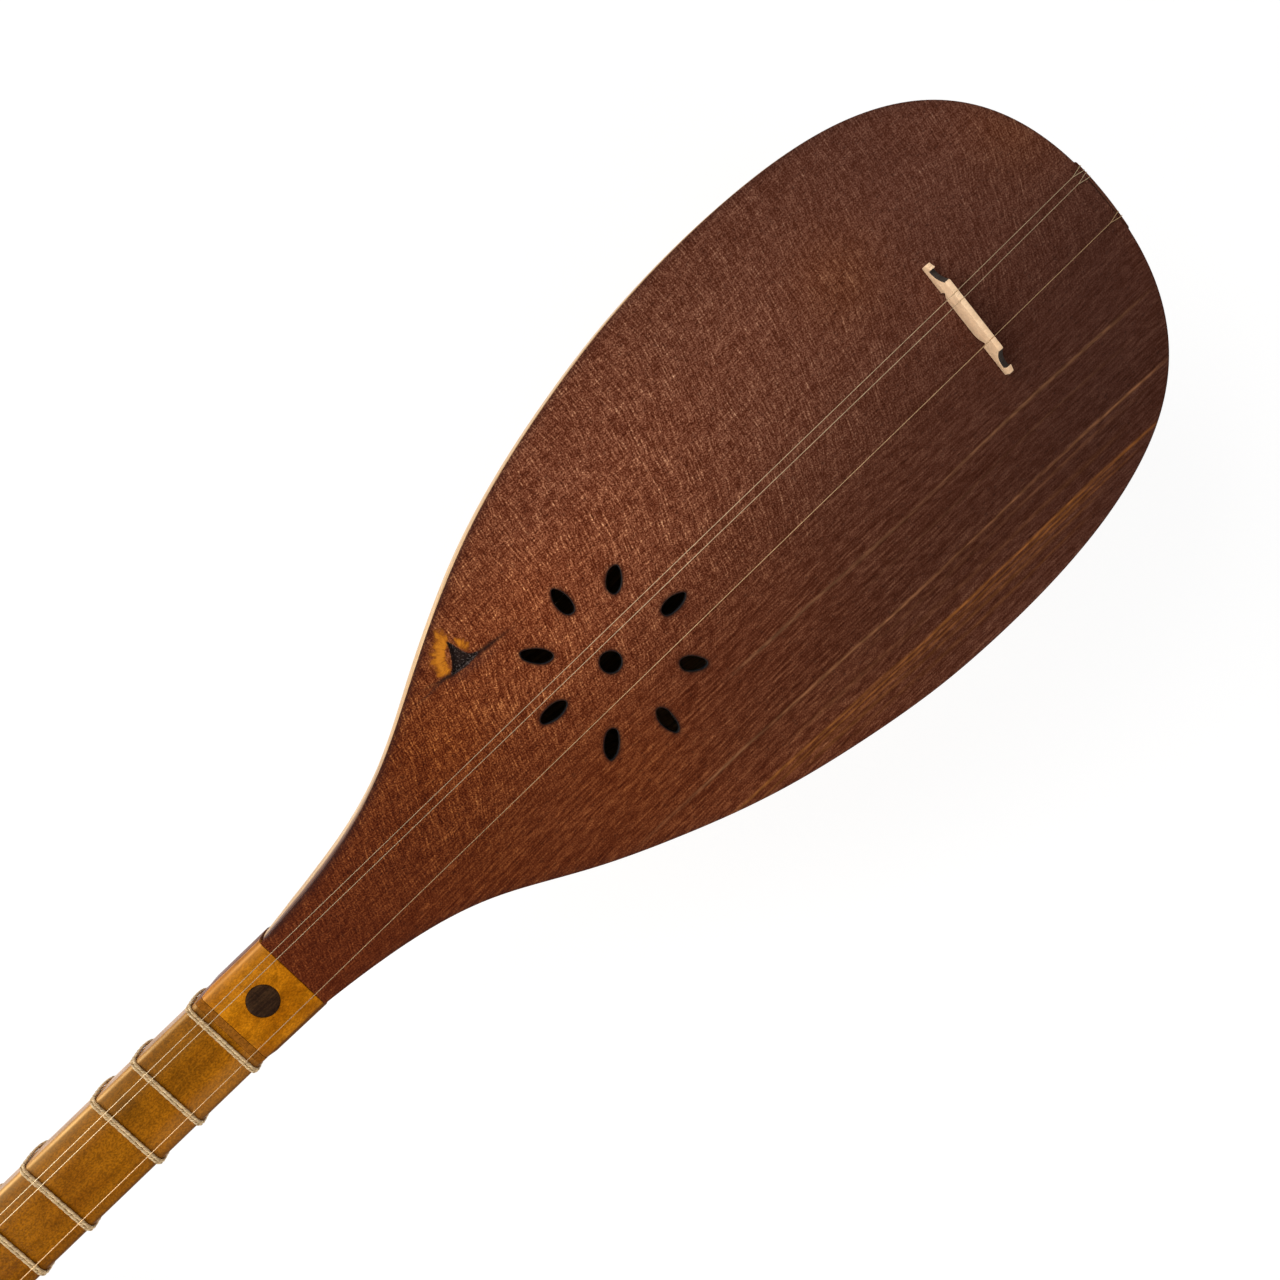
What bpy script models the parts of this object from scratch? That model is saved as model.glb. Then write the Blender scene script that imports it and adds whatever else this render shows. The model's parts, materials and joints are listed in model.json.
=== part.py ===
"""Tanbur: a long-necked lute with a ribbed pear bowl, three strings and tied gut frets.

Instrument frame: y = 0 where the soundboard meets the joint plate, +Y towards the head,
z = 0 at the top of the soundboard and of the neck, +X on the side of the paired strings.
"Reach" is a distance from y = 0 towards the tail. The parent empty turns this frame so that
the instrument lies on its back: bowl and head touch the ground, z = 0.
"""
import math

import bmesh
import bpy
import numpy as np
from mathutils import Euler, Vector

MM = 0.001

# Fit
GAP = 0.3 * MM                  # glue line or running gap between neighbours

# Shading: edges sharper than this many degrees stay crisp
ROUND_CREASE = 40.0
FLAT_CREASE = 20.0              # for pieces that are mostly flat

# Plan of the sound box
JOINT_WIDTH = 27.6 * MM         # at the joint plate
SHOULDER_WIDTH = 111.4 * MM
SHOULDER_REACH = 118.6 * MM
BODY_WIDTH = 160.0 * MM
BODY_LENGTH = 351.8 * MM
WIDEST_FROM_TAIL = 105.8 * MM
TAIL_WIDTH = 27.2 * MM          # flat at the tail end
JOINT_PULL = 0.587              # pulls: curve handles as shares of their own span
SHOULDER_PULL_IN = 0.4545
SHOULDER_PULL_OUT = 0.138
WIDEST_PULL_IN = 0.484
WIDEST_PULL_OUT = 0.613
TAIL_PULL = 0.7616
JOINT_FLARE = 0.09              # half width gained per unit of reach
SHOULDER_FLARE = 0.41
PLAN_STEPS = 16                 # outline points on each of the three curves

# Bowl
BOWL_DEPTH = 118.0 * MM
DEEPEST_FROM_TAIL = 126.8 * MM
BELLY_DROP = 15.0 * MM          # widest line of the deepest section, below the soundboard
TAIL_DROP = 20.0 * MM           # where the back turns into the tail end
BACK_PULL_HEEL = 0.31
BACK_PULL_IN = 0.51
BACK_PULL_OUT = 0.6
BACK_PULL_TAIL = 0.45
BACK_FLARE = 0.045
RIB_COUNT = 7
RIB_FACES = 3                   # facets across one rib
RIB_STEPS = 6                   # stations on each of the three plan curves
RIB_THICKNESS = 3.0 * MM
SOUNDBOARD_THICKNESS = 2.8 * MM
NECK_BLOCK_REACH = 42.0 * MM
TAIL_BLOCK_LENGTH = 18.0 * MM

# Sound holes
ROSETTE_REACH = 139.0 * MM
ROSETTE_RADIUS = 25.4 * MM
CENTRE_HOLE_DIAMETER = 7.0 * MM
SEED_COUNT = 8
SEED_LENGTH = 9.0 * MM
SEED_WIDTH = 4.8 * MM
SEED_EGG = 0.12                 # how much fuller the inner end is
HOLE_STEPS = 20
SEED_STEPS = 16

# Neck, heel and joint plate
HEEL_STRIP = 2.6 * MM           # block wood between the plate and the neck
HEEL_DEPTH = 27.0 * MM
NECK_START_WIDTH = 27.0 * MM
NECK_START_DEPTH = 26.0 * MM
NECK_END_WIDTH = 25.6 * MM
NECK_END_DEPTH = 23.0 * MM
EDGE_RADIUS = 1.6 * MM          # rounded top edges of neck, heel and plate
EDGE_STEPS = 2
NECK_FACES = 10
TENON_LENGTH = 17.0 * MM
TENON_WIDTH = 13.0 * MM
TENON_TOP = 7.0 * MM
TENON_DEPTH = 20.0 * MM
PLATE_LENGTH = 24.7 * MM
PLATE_THICKNESS = 3.0 * MM
DOT_DIAMETER = 10.5 * MM        # in the middle of the plate
DOT_SIDES = 40

# Strings: the first two lie close together
SCALE_LENGTH = 735.0 * MM
BRIDGE_FROM_TAIL = 57.3 * MM
TREBLE_DIAMETER = 0.3 * MM
BASS_DIAMETER = 0.4 * MM
NUT_MARGINS = (2.5 * MM, 2.8 * MM)     # outer strings to the ends: pair side, single side
BRIDGE_MARGINS = (3.1 * MM, 3.9 * MM)
TAIL_MARGINS = (4.2 * MM, 5.0 * MM)
NUT_PAIR = 1.8 * MM             # between the paired strings
BRIDGE_PAIR = 3.0 * MM
TAIL_PAIR = 3.0 * MM
GROOVE_DEPTH = 0.5 * MM
GROOVE_WIDTH = 0.9 * MM
STRING_LIFT = 0.4 * MM          # string above the floor of its groove
LOOP_SPREAD = 1.7 * MM          # between the two legs of a tail loop at the edge
LOOP_REACH = 4.0 * MM           # from the edge to where the legs meet
HOOK_SPLAY = 0.75 * MM          # hooks of the pair stand further apart than their strings
HOOK_DROP = 9.0 * MM
HOOK_DIAMETER = 2.4 * MM
HOOK_LENGTH = 3.0 * MM
HOOK_SIDES = 16
HOOK_BENDS = 6                  # straight bits of wire round the lower half of a hook
TAILPIECE_THICKNESS = 1.8 * MM
TAILPIECE_PROUD = 0.8 * MM

# Bridge
BRIDGE_LENGTH = 40.6 * MM
BRIDGE_HEIGHT = 8.0 * MM
BRIDGE_THICKNESS = 1.8 * MM
BRIDGE_TOP_LENGTH = 25.2 * MM
SCOOP_FLOOR = 2.2 * MM
HORN_HEIGHT = 5.0 * MM
HORN_LENGTH = 1.6 * MM
BRIDGE_CHAMFER = 0.7 * MM
SCOOP_STEPS = 6
SWELL_LENGTH = 18.4 * MM        # thicker middle of the foot, on the neck side
SWELL_DEPTH = 0.9 * MM
SWELL_HEIGHT = 5.0 * MM
SWELL_SIDES = 48

# Frets: pitch above the open string, in cents
FRET_CENTS = (100, 200, 300, 400, 500, 600, 700, 800, 900, 991, 1076, 1211, 1294, 1415)
OCTAVE_CENTS = 1200
GUT_DIAMETER = 0.7 * MM
FRET_SPACE = 0.45 * MM          # clear space between the two strands of one fret
FRET_TURNS = 2

# Nut and head
NUT_THICKNESS = 3.2 * MM
NUT_SEAT = 2.0 * MM
NUT_HEIGHT = 2.2 * MM
NUT_CHAMFER = 0.8 * MM
HEAD_LENGTH = 102.0 * MM
HEAD_END_WIDTH = 22.0 * MM
HEAD_DEPTH = 22.0 * MM          # below the head's own top
HEAD_STEP = 1.2 * MM            # head top below the neck top
HEAD_CORNER = 3.0 * MM
HEAD_CORNER_STEPS = 2
HEAD_END_ROUND = 3.0 * MM
REST_LENGTH = 34.0 * MM         # flat at the back of the tip, on which the head lies

# Pegs: two on the front, one on the side; places are measured from the nut
FAR_PEG = 60.0 * MM
NEAR_PEG = 30.0 * MM
SIDE_PEG = 46.0 * MM
FAR_PEG_OFFSET = 4.0 * MM       # towards the pair side
NEAR_PEG_OFFSET = 1.5 * MM
SIDE_PEG_DROP = 8.3 * MM        # below the head's top
PEG_FLOOR = 6.0 * MM            # wood left under a front peg
PEG_TIP_RADIUS = 2.6 * MM
PEG_SHAFT_RADIUS = 3.1 * MM
PEG_SHAFT_OUT = 12.0 * MM
COLLAR_RADIUS = 4.6 * MM
COLLAR_LENGTH = 1.6 * MM
WAIST_RADIUS = 3.2 * MM
WAIST_LENGTH = 1.6 * MM         # from the collar down to the waist, and from there to the thumb
THUMB_LENGTH = 20.0 * MM
THUMB_WIDTH = 20.0 * MM
THUMB_THICKNESS = 8.0 * MM
THUMB_PROFILE = ((0.15, 0.72), (0.4, 1.0), (0.7, 0.92), (0.9, 0.62), (1.0, 0.3))
PEG_SIDES = 12
WINDING_TURNS = 3
WINDING_POINTS = 24             # on one turn
WINDING_SPACE = 0.5 * MM        # clear space between turns
WINDING_START = 1.8 * MM        # first turn above the head

# What follows from these
WIDEST_REACH = BODY_LENGTH - WIDEST_FROM_TAIL
DEEPEST_REACH = BODY_LENGTH - DEEPEST_FROM_TAIL
BRIDGE_REACH = BODY_LENGTH - BRIDGE_FROM_TAIL
HEEL_LENGTH = PLATE_LENGTH + HEEL_STRIP
NUT_Y = SCALE_LENGTH - BRIDGE_REACH
NECK_END_Y = NUT_Y + NUT_THICKNESS / 2 + GAP
RIM = SOUNDBOARD_THICKNESS + GAP
FRET_PITCH = GUT_DIAMETER + FRET_SPACE
PEG_IN_HEAD = HEAD_DEPTH - PEG_FLOOR
STRING_DIAMETERS = (TREBLE_DIAMETER, TREBLE_DIAMETER, BASS_DIAMETER)


def string_places(width, margins, pair):
    """X of the three strings across a piece of that width."""
    first = width / 2 - margins[0]
    return (first, first - pair, margins[1] - width / 2)


STRING_AT_NUT = string_places(NECK_END_WIDTH, NUT_MARGINS, NUT_PAIR)
STRING_AT_BRIDGE = string_places(BRIDGE_TOP_LENGTH, BRIDGE_MARGINS, BRIDGE_PAIR)
STRING_AT_TAIL = string_places(TAIL_WIDTH, TAIL_MARGINS, TAIL_PAIR)
HOOK_AT_TAIL = (STRING_AT_TAIL[0] + HOOK_SPLAY, STRING_AT_TAIL[1] - HOOK_SPLAY,
                STRING_AT_TAIL[2])


def clear_scene():
    for obj in list(bpy.data.objects):
        bpy.data.objects.remove(obj, do_unlink=True)


def new_collection(name):
    coll = bpy.data.collections.new(name)
    bpy.context.scene.collection.children.link(coll)
    return coll


def new_material(name, colour, roughness, metallic=0.0):
    mat = bpy.data.materials.new(name)
    mat.use_nodes = True
    bsdf = mat.node_tree.nodes["Principled BSDF"]
    bsdf.inputs["Base Color"].default_value = (*colour, 1.0)
    bsdf.inputs["Roughness"].default_value = roughness
    bsdf.inputs["Metallic"].default_value = metallic
    return mat


clear_scene()
PARTS = new_collection("tanbur")
CUTTERS = new_collection("tanbur_cutters")

root = bpy.data.objects.new("tanbur_root", None)
PARTS.objects.link(root)

BOARD_WOOD = new_material("mulberry_board", (0.115, 0.040, 0.020), 0.42)
BOWL_WOOD = new_material("mulberry_rib", (0.48, 0.27, 0.10), 0.38)
NECK_WOOD = new_material("neck_walnut", (0.24, 0.105, 0.035), 0.32)
PLATE_WOOD = new_material("plate_apricot", (0.62, 0.30, 0.09), 0.38)
DOT_WOOD = new_material("dot_walnut", (0.10, 0.035, 0.02), 0.4)
BLOCK_WOOD = new_material("inner_block", (0.45, 0.30, 0.16), 0.7)
BRIDGE_WOOD = new_material("bridge_maple", (0.76, 0.54, 0.34), 0.6)
TAIL_WOOD = new_material("tailpiece_walnut", (0.09, 0.04, 0.025), 0.45)
NUT_BONE = new_material("nut_bone", (0.78, 0.70, 0.55), 0.4)
PEG_WOOD = new_material("peg_walnut", (0.11, 0.045, 0.02), 0.35)
STEEL = new_material("string_steel", (0.72, 0.70, 0.68), 0.25, 1.0)
BRONZE = new_material("string_bronze", (0.70, 0.47, 0.25), 0.28, 1.0)
GUT = new_material("fret_gut", (0.55, 0.36, 0.18), 0.6)


def link(obj, coll, material=None):
    """Puts an object in a collection, under the root, with its material."""
    coll.objects.link(obj)
    obj.parent = root
    if material:
        obj.data.materials.append(material)
    if coll is CUTTERS:
        obj.hide_render = True
        obj.display_type = "WIRE"
    return obj


def smooth(mesh, angle):
    mesh.shade_smooth()
    mesh.set_sharp_from_angle(angle=math.radians(angle))


def loft(name, rings, coll, material=None, crease=ROUND_CREASE):
    """One closed body through sections that have the same number of points."""
    bm = bmesh.new()
    loops = [[bm.verts.new(point) for point in ring] for ring in rings]
    count = len(loops[0])
    for near, far in zip(loops, loops[1:]):
        for i in range(count):
            j = (i + 1) % count
            bm.faces.new((near[i], near[j], far[j], far[i]))
    bm.faces.new(loops[0])
    bm.faces.new(list(reversed(loops[-1])))
    bmesh.ops.recalc_face_normals(bm, faces=bm.faces)
    mesh = bpy.data.meshes.new(name)
    bm.to_mesh(mesh)
    bm.free()
    smooth(mesh, crease)
    return link(bpy.data.objects.new(name, mesh), coll, material)


def box(name, low, high):
    """A box cutter between two corners."""
    bm = bmesh.new()
    bmesh.ops.create_cube(bm, size=1.0)
    size = [b - a for a, b in zip(low, high)]
    centre = [(a + b) / 2 for a, b in zip(low, high)]
    bmesh.ops.scale(bm, vec=size, verts=bm.verts)
    bmesh.ops.translate(bm, vec=centre, verts=bm.verts)
    mesh = bpy.data.meshes.new(name)
    bm.to_mesh(mesh)
    bm.free()
    return link(bpy.data.objects.new(name, mesh), CUTTERS)


def cylinder(name, radius, length, sides, coll, material=None):
    """A cylinder on its own Z axis, centred on its origin."""
    bm = bmesh.new()
    bmesh.ops.create_cone(bm, cap_ends=True, segments=sides, radius1=radius,
                          radius2=radius, depth=length)
    mesh = bpy.data.meshes.new(name)
    bm.to_mesh(mesh)
    bm.free()
    smooth(mesh, ROUND_CREASE)
    return link(bpy.data.objects.new(name, mesh), coll, material)


def boolean(target, operand, operation="DIFFERENCE"):
    mod = target.modifiers.new(operand.name, "BOOLEAN")
    mod.operation = operation
    mod.object = operand


def flat_curve(name, outlines, thickness, coll, material=None):
    """A plate from closed 2D outlines; those inside the first are holes."""
    curve = bpy.data.curves.new(name, "CURVE")
    curve.dimensions = "2D"
    curve.fill_mode = "BOTH"
    curve.extrude = thickness / 2
    for outline in outlines:
        spline = curve.splines.new("POLY")
        spline.points.add(len(outline) - 1)
        for point, (x, y) in zip(spline.points, outline):
            point.co = (x, y, 0.0, 1.0)
        spline.use_cyclic_u = True
    return link(bpy.data.objects.new(name, curve), coll, material)


def tube(name, points, diameter, coll, material):
    """A round wire through points, closed at both ends."""
    curve = bpy.data.curves.new(name, "CURVE")
    curve.dimensions = "3D"
    curve.bevel_depth = diameter / 2
    curve.bevel_resolution = 1
    curve.use_fill_caps = True
    spline = curve.splines.new("POLY")
    spline.points.add(len(points) - 1)
    for point, co in zip(spline.points, points):
        point.co = (*co, 1.0)
    spline.use_smooth = True
    return link(bpy.data.objects.new(name, curve), coll, material)


def as_mesh(obj, coll, material=None):
    """The same object with its curve turned into a welded mesh."""
    bpy.context.view_layer.update()
    graph = bpy.context.evaluated_depsgraph_get()
    mesh = bpy.data.meshes.new_from_object(obj.evaluated_get(graph))
    bm = bmesh.new()
    bm.from_mesh(mesh)
    bmesh.ops.remove_doubles(bm, verts=bm.verts, dist=0.001 * MM)
    bm.to_mesh(mesh)
    bm.free()
    mesh.materials.clear()
    name = obj.name
    rotation = obj.rotation_euler.copy()
    location = obj.location.copy()
    bpy.data.objects.remove(obj, do_unlink=True)
    made = link(bpy.data.objects.new(name, mesh), coll, material)
    made.rotation_euler = rotation
    made.location = location
    return made


def least_gap(points, diameter, skip):
    """Smallest clear distance between parts of one wire that aren't next to each other."""
    pts = np.array([tuple(p) for p in points])
    gaps = [np.linalg.norm(pts[i + skip:] - pts[i], axis=1).min()
            for i in range(len(pts) - skip)]
    return min(gaps) - diameter


def lerp(a, b, share):
    return a + (b - a) * share


# Plan and back of the sound box

def bezier(p0, p1, p2, p3, steps):
    t = np.linspace(0.0, 1.0, steps + 1)[:, None]
    ends = np.array(p0) * (1 - t) ** 3 + np.array(p3) * t ** 3
    return ends + 3 * np.array(p1) * t * (1 - t) ** 2 + 3 * np.array(p2) * t ** 2 * (1 - t)


def body_plan(steps):
    """(reach, half width) from the joint plate to the middle of the tail."""
    joint = (0.0, JOINT_WIDTH / 2)
    shoulder = (SHOULDER_REACH, SHOULDER_WIDTH / 2)
    widest = (WIDEST_REACH, BODY_WIDTH / 2)
    tail = (BODY_LENGTH, 0.0)
    first = SHOULDER_REACH
    second = WIDEST_REACH - SHOULDER_REACH
    third = BODY_LENGTH - WIDEST_REACH
    leave = JOINT_PULL * first
    enter = SHOULDER_PULL_IN * first
    onward = SHOULDER_PULL_OUT * second
    flare = bezier(joint, (leave, joint[1] + leave * JOINT_FLARE),
                   (shoulder[0] - enter, shoulder[1] - enter * SHOULDER_FLARE),
                   shoulder, steps)
    upper = bezier(shoulder, (shoulder[0] + onward, shoulder[1] + onward * SHOULDER_FLARE),
                   (widest[0] - WIDEST_PULL_IN * second, widest[1]), widest, steps)
    lower = bezier(widest, (widest[0] + WIDEST_PULL_OUT * third, widest[1]),
                   (tail[0], TAIL_PULL * widest[1]), tail, steps)
    return np.vstack([flare, upper[1:], lower[1:]])


def bowl_back(steps):
    """(reach, depth) along the middle of the back."""
    heel = (0.0, HEEL_DEPTH)
    deepest = (DEEPEST_REACH, BOWL_DEPTH)
    tail = (BODY_LENGTH, TAIL_DROP)
    leave = BACK_PULL_HEEL * DEEPEST_REACH
    last = BODY_LENGTH - DEEPEST_REACH
    front = bezier(heel, (leave, HEEL_DEPTH + leave * BACK_FLARE),
                   (DEEPEST_REACH * (1 - BACK_PULL_IN), BOWL_DEPTH), deepest, steps)
    rear = bezier(deepest, (DEEPEST_REACH + BACK_PULL_OUT * last, BOWL_DEPTH),
                  (BODY_LENGTH, lerp(TAIL_DROP, BOWL_DEPTH, BACK_PULL_TAIL)), tail, steps)
    return np.vstack([front, rear[1:]])


FINE_STEPS = 200
PLAN = body_plan(FINE_STEPS)
BACK = bowl_back(FINE_STEPS)
TAIL_CURVE = PLAN[-FINE_STEPS:][::-1]
TAIL_REACH = float(np.interp(TAIL_WIDTH / 2, TAIL_CURVE[:, 1], TAIL_CURVE[:, 0]))


def half_width(reach):
    return float(np.interp(reach, PLAN[:, 0], PLAN[:, 1]))


def depth(reach):
    return float(np.interp(reach, BACK[:, 0], BACK[:, 1]))


def stations(steps):
    """Reaches of the plan's points, up to the flat tail end."""
    inside = [float(r) for r in body_plan(steps)[:, 0] if r < TAIL_REACH - GAP]
    return inside + [TAIL_REACH]


def ellipse(half, deep):
    """Half width, half height and centre drop of the ellipse through a section's top edge."""
    drop = deep * BELLY_DROP / BOWL_DEPTH
    rise = deep - drop
    return half / math.sqrt(1.0 - (drop / rise) ** 2), rise, drop


def bowl_point(reach, angle):
    wide, rise, drop = ellipse(half_width(reach), depth(reach))
    return Vector((wide * math.cos(angle), -reach, -drop - rise * math.sin(angle)))


def rim_angle(reach, below):
    """Angle at which a section is a given distance below the soundboard's top."""
    wide, rise, drop = ellipse(half_width(reach), depth(reach))
    return math.asin((below - drop) / rise)


def inset_point(reach, angle, inset):
    """A point of the bowl moved inwards, square to its outer face."""
    step = 0.05 * MM
    turn = 0.001
    mid = min(max(reach, step), BODY_LENGTH - step)
    along = bowl_point(mid + step, angle) - bowl_point(mid - step, angle)
    across = bowl_point(mid, angle + turn) - bowl_point(mid, angle - turn)
    normal = along.cross(across).normalized()
    point = bowl_point(reach, angle)
    drop = ellipse(half_width(reach), depth(reach))[2]
    if normal.dot(Vector((point.x, 0.0, point.z + drop))) < 0:
        normal.negate()
    return point - normal * inset


# Bowl

def rib_edges(reach, index):
    """Angles of one rib's two edges, with half the glue line taken off each."""
    start = rim_angle(reach, RIM)
    sweep = math.pi - 2 * start
    wide, rise, drop = ellipse(half_width(reach), depth(reach))
    edges = []
    for side, k in ((1, index), (-1, index + 1)):
        angle = start + sweep * k / RIB_COUNT
        if 0 < k < RIB_COUNT:
            speed = math.hypot(wide * math.sin(angle), rise * math.cos(angle))
            angle += side * GAP / 2 / speed
        edges.append(angle)
    return edges


def rib_ring(reach, index):
    low, high = rib_edges(reach, index)
    angles = [lerp(low, high, i / RIB_FACES) for i in range(RIB_FACES + 1)]
    outer = [bowl_point(reach, a) for a in angles]
    inner = [inset_point(reach, a, RIB_THICKNESS) for a in angles]
    if index == 0:
        inner[0].z = outer[0].z
    if index == RIB_COUNT - 1:
        inner[-1].z = outer[-1].z
    return outer + inner[::-1]


TAIL_BLOCK_REACH = TAIL_REACH - TAIL_BLOCK_LENGTH
RIB_STATIONS = sorted([GAP, NECK_BLOCK_REACH, TAIL_BLOCK_REACH] + stations(RIB_STEPS)[1:])
RIBS = [loft(f"bowl_rib_{k + 1}", [rib_ring(r, k) for r in RIB_STATIONS],
             PARTS, BOWL_WOOD) for k in range(RIB_COUNT)]


# Soundboard

def circle(radius, centre):
    turn = 2 * math.pi / HOLE_STEPS
    return [(centre[0] + radius * math.cos(turn * i), centre[1] + radius * math.sin(turn * i))
            for i in range(HOLE_STEPS)]


def seed(index):
    """Outline of one seed-shaped hole, its long axis through the rosette's middle."""
    aim = 2 * math.pi * index / SEED_COUNT
    points = []
    for i in range(SEED_STEPS):
        turn = 2 * math.pi * i / SEED_STEPS
        out = ROSETTE_RADIUS + SEED_LENGTH / 2 * math.cos(turn)
        side = SEED_WIDTH / 2 * math.sin(turn) * (1 - SEED_EGG * math.cos(turn))
        points.append((out * math.cos(aim) - side * math.sin(aim),
                       out * math.sin(aim) + side * math.cos(aim) - ROSETTE_REACH))
    return points


right_edge = [(half_width(r), -r) for r in stations(PLAN_STEPS)]
left_edge = [(-x, y) for x, y in reversed(right_edge)]
holes = [circle(CENTRE_HOLE_DIAMETER / 2, (0.0, -ROSETTE_REACH))]
holes += [seed(i) for i in range(SEED_COUNT)]
soundboard = flat_curve("soundboard", [right_edge + left_edge] + holes,
                        SOUNDBOARD_THICKNESS, PARTS, BOARD_WOOD)
soundboard.location.z = -SOUNDBOARD_THICKNESS / 2


# Sections of neck and blocks

def u_arc(half, deep, y, top):
    """Sides and back of a D section, from one top edge round to the other."""
    wide, rise, drop = ellipse(half, deep)
    start = math.asin((-top - drop) / rise)
    angles = [lerp(start, math.pi - start, i / NECK_FACES) for i in range(NECK_FACES + 1)]
    return [Vector((wide * math.cos(a), y, -drop - rise * math.sin(a))) for a in angles]


def block_arc(reach, below):
    """The inside of the bowl, less a glue line, from rim to rim."""
    start = rim_angle(reach, below)
    angles = [lerp(start, math.pi - start, i / NECK_FACES) for i in range(NECK_FACES + 1)]
    return [inset_point(reach, a, RIB_THICKNESS + GAP) for a in angles]


def closed_ring(arc, top, corner):
    """A section closed by a flat top with rounded edges."""
    ends = []
    for point, side in ((arc[0], 1), (arc[-1], -1)):
        ring = []
        for j in range(1, EDGE_STEPS + 1):
            turn = math.pi / 2 * j / EDGE_STEPS
            x = point.x - side * corner * (1 - math.cos(turn))
            ring.append(Vector((x, point.y, lerp(point.z, top, math.sin(turn)))))
        ends.append(ring)
    return ends[0][::-1] + list(arc) + ends[1]


def neck_share(y):
    return (y - HEEL_LENGTH - GAP) / (NUT_Y - HEEL_LENGTH - GAP)


def neck_ring(y, grow=0.0):
    """The neck's section at y, or the same section grown outwards."""
    half = lerp(NECK_START_WIDTH, NECK_END_WIDTH, neck_share(y)) / 2 + grow
    deep = lerp(NECK_START_DEPTH, NECK_END_DEPTH, neck_share(y)) + grow
    return closed_ring(u_arc(half, deep, y, -EDGE_RADIUS), grow, EDGE_RADIUS + grow)


def tenon_ring(y, grow=0.0):
    half = TENON_WIDTH / 2 + grow
    top = -TENON_TOP + grow
    arc = u_arc(half, TENON_DEPTH + grow, y, top - EDGE_RADIUS)
    return closed_ring(arc, top, EDGE_RADIUS)


def heel_half(y):
    return lerp(JOINT_WIDTH, NECK_START_WIDTH, y / HEEL_LENGTH) / 2


def heel_ring(y):
    deep = lerp(HEEL_DEPTH, NECK_START_DEPTH, y / HEEL_LENGTH)
    return closed_ring(u_arc(heel_half(y), deep, y, -EDGE_RADIUS), 0.0, EDGE_RADIUS)


def inner_ring(reach):
    return closed_ring(block_arc(reach, RIM + EDGE_RADIUS), -RIM, EDGE_RADIUS)


# Blocks: the neck block shows between neck and soundboard and runs on inside the bowl
inside = [inner_ring(r) for r in reversed(RIB_STATIONS) if r <= NECK_BLOCK_REACH]
for point in inside[-1]:
    point.y = 0.0
neck_block = loft("neck_block", inside + [heel_ring(0.0), heel_ring(HEEL_LENGTH)],
                  PARTS, NECK_WOOD)
recess = box("cut_plate_recess", (-JOINT_WIDTH, -GAP, -PLATE_THICKNESS - GAP),
             (JOINT_WIDTH, PLATE_LENGTH + GAP, PLATE_THICKNESS))
boolean(neck_block, recess)
mortise = loft("cut_mortise",
               [tenon_ring(HEEL_LENGTH - TENON_LENGTH - GAP, GAP),
                tenon_ring(HEEL_LENGTH + TENON_LENGTH, GAP)], CUTTERS)
boolean(neck_block, mortise)

tail_rings = [inner_ring(r) for r in RIB_STATIONS if r >= TAIL_BLOCK_REACH]
plug = [Vector((p.x, -TAIL_REACH, p.z)) for p in tail_rings[-1]]
tail_block = loft("tail_block", tail_rings + [plug], PARTS, BLOCK_WOOD)

# Joint plate with its round inlay


def plate_ring(y):
    half = heel_half(y)
    ring = []
    for side in (1, -1):
        arc = [Vector((side * half, y, -PLATE_THICKNESS))]
        for j in range(EDGE_STEPS + 1):
            turn = math.pi / 2 * j / EDGE_STEPS
            arc.append(Vector((side * (half - EDGE_RADIUS * (1 - math.cos(turn))), y,
                               EDGE_RADIUS * (math.sin(turn) - 1))))
        ring += arc if side > 0 else arc[::-1]
    return ring


joint_plate = loft("joint_plate", [plate_ring(GAP), plate_ring(PLATE_LENGTH)],
                   PARTS, PLATE_WOOD, crease=FLAT_CREASE)
dot_hole = cylinder("cut_dot", DOT_DIAMETER / 2 + GAP, 4 * PLATE_THICKNESS, DOT_SIDES, CUTTERS)
dot_hole.location = (0.0, PLATE_LENGTH / 2, 0.0)
boolean(joint_plate, dot_hole)
inlay_dot = cylinder("inlay_dot", DOT_DIAMETER / 2, PLATE_THICKNESS, DOT_SIDES, PARTS, DOT_WOOD)
inlay_dot.location = (0.0, PLATE_LENGTH / 2, -PLATE_THICKNESS / 2)

# Neck with its tenon and the slot for the nut
joint_y = HEEL_LENGTH + GAP
neck = loft("neck", [tenon_ring(HEEL_LENGTH - TENON_LENGTH), tenon_ring(joint_y),
                     neck_ring(joint_y), neck_ring(NECK_END_Y)], PARTS, NECK_WOOD)
nut_slot = box("cut_nut_slot", (-NECK_END_WIDTH, NUT_Y - NUT_THICKNESS / 2 - GAP, -NUT_SEAT),
               (NECK_END_WIDTH, NECK_END_Y + NUT_THICKNESS, NUT_SEAT))
boolean(neck, nut_slot)


# Grooved pieces: nut and bridge

def grooved(points, places, top):
    """Adds a small groove to a top edge at each string, from right to left."""
    for x in sorted(places, reverse=True):
        points += [(x + GROOVE_WIDTH / 2, top), (x, top - GROOVE_DEPTH),
                   (x - GROOVE_WIDTH / 2, top)]
    return points


nut_half = NECK_END_WIDTH / 2 - GAP
nut_foot = GAP - NUT_SEAT
nut_outline = [(-nut_half, nut_foot), (nut_half, nut_foot),
               (nut_half, NUT_HEIGHT - NUT_CHAMFER), (nut_half - NUT_CHAMFER, NUT_HEIGHT)]
nut_outline = grooved(nut_outline, STRING_AT_NUT, NUT_HEIGHT)
nut_outline += [(NUT_CHAMFER - nut_half, NUT_HEIGHT), (-nut_half, NUT_HEIGHT - NUT_CHAMFER)]
nut = flat_curve("nut", [nut_outline], NUT_THICKNESS, PARTS, NUT_BONE)
nut.rotation_euler.x = math.pi / 2
nut.location.y = NUT_Y


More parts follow.
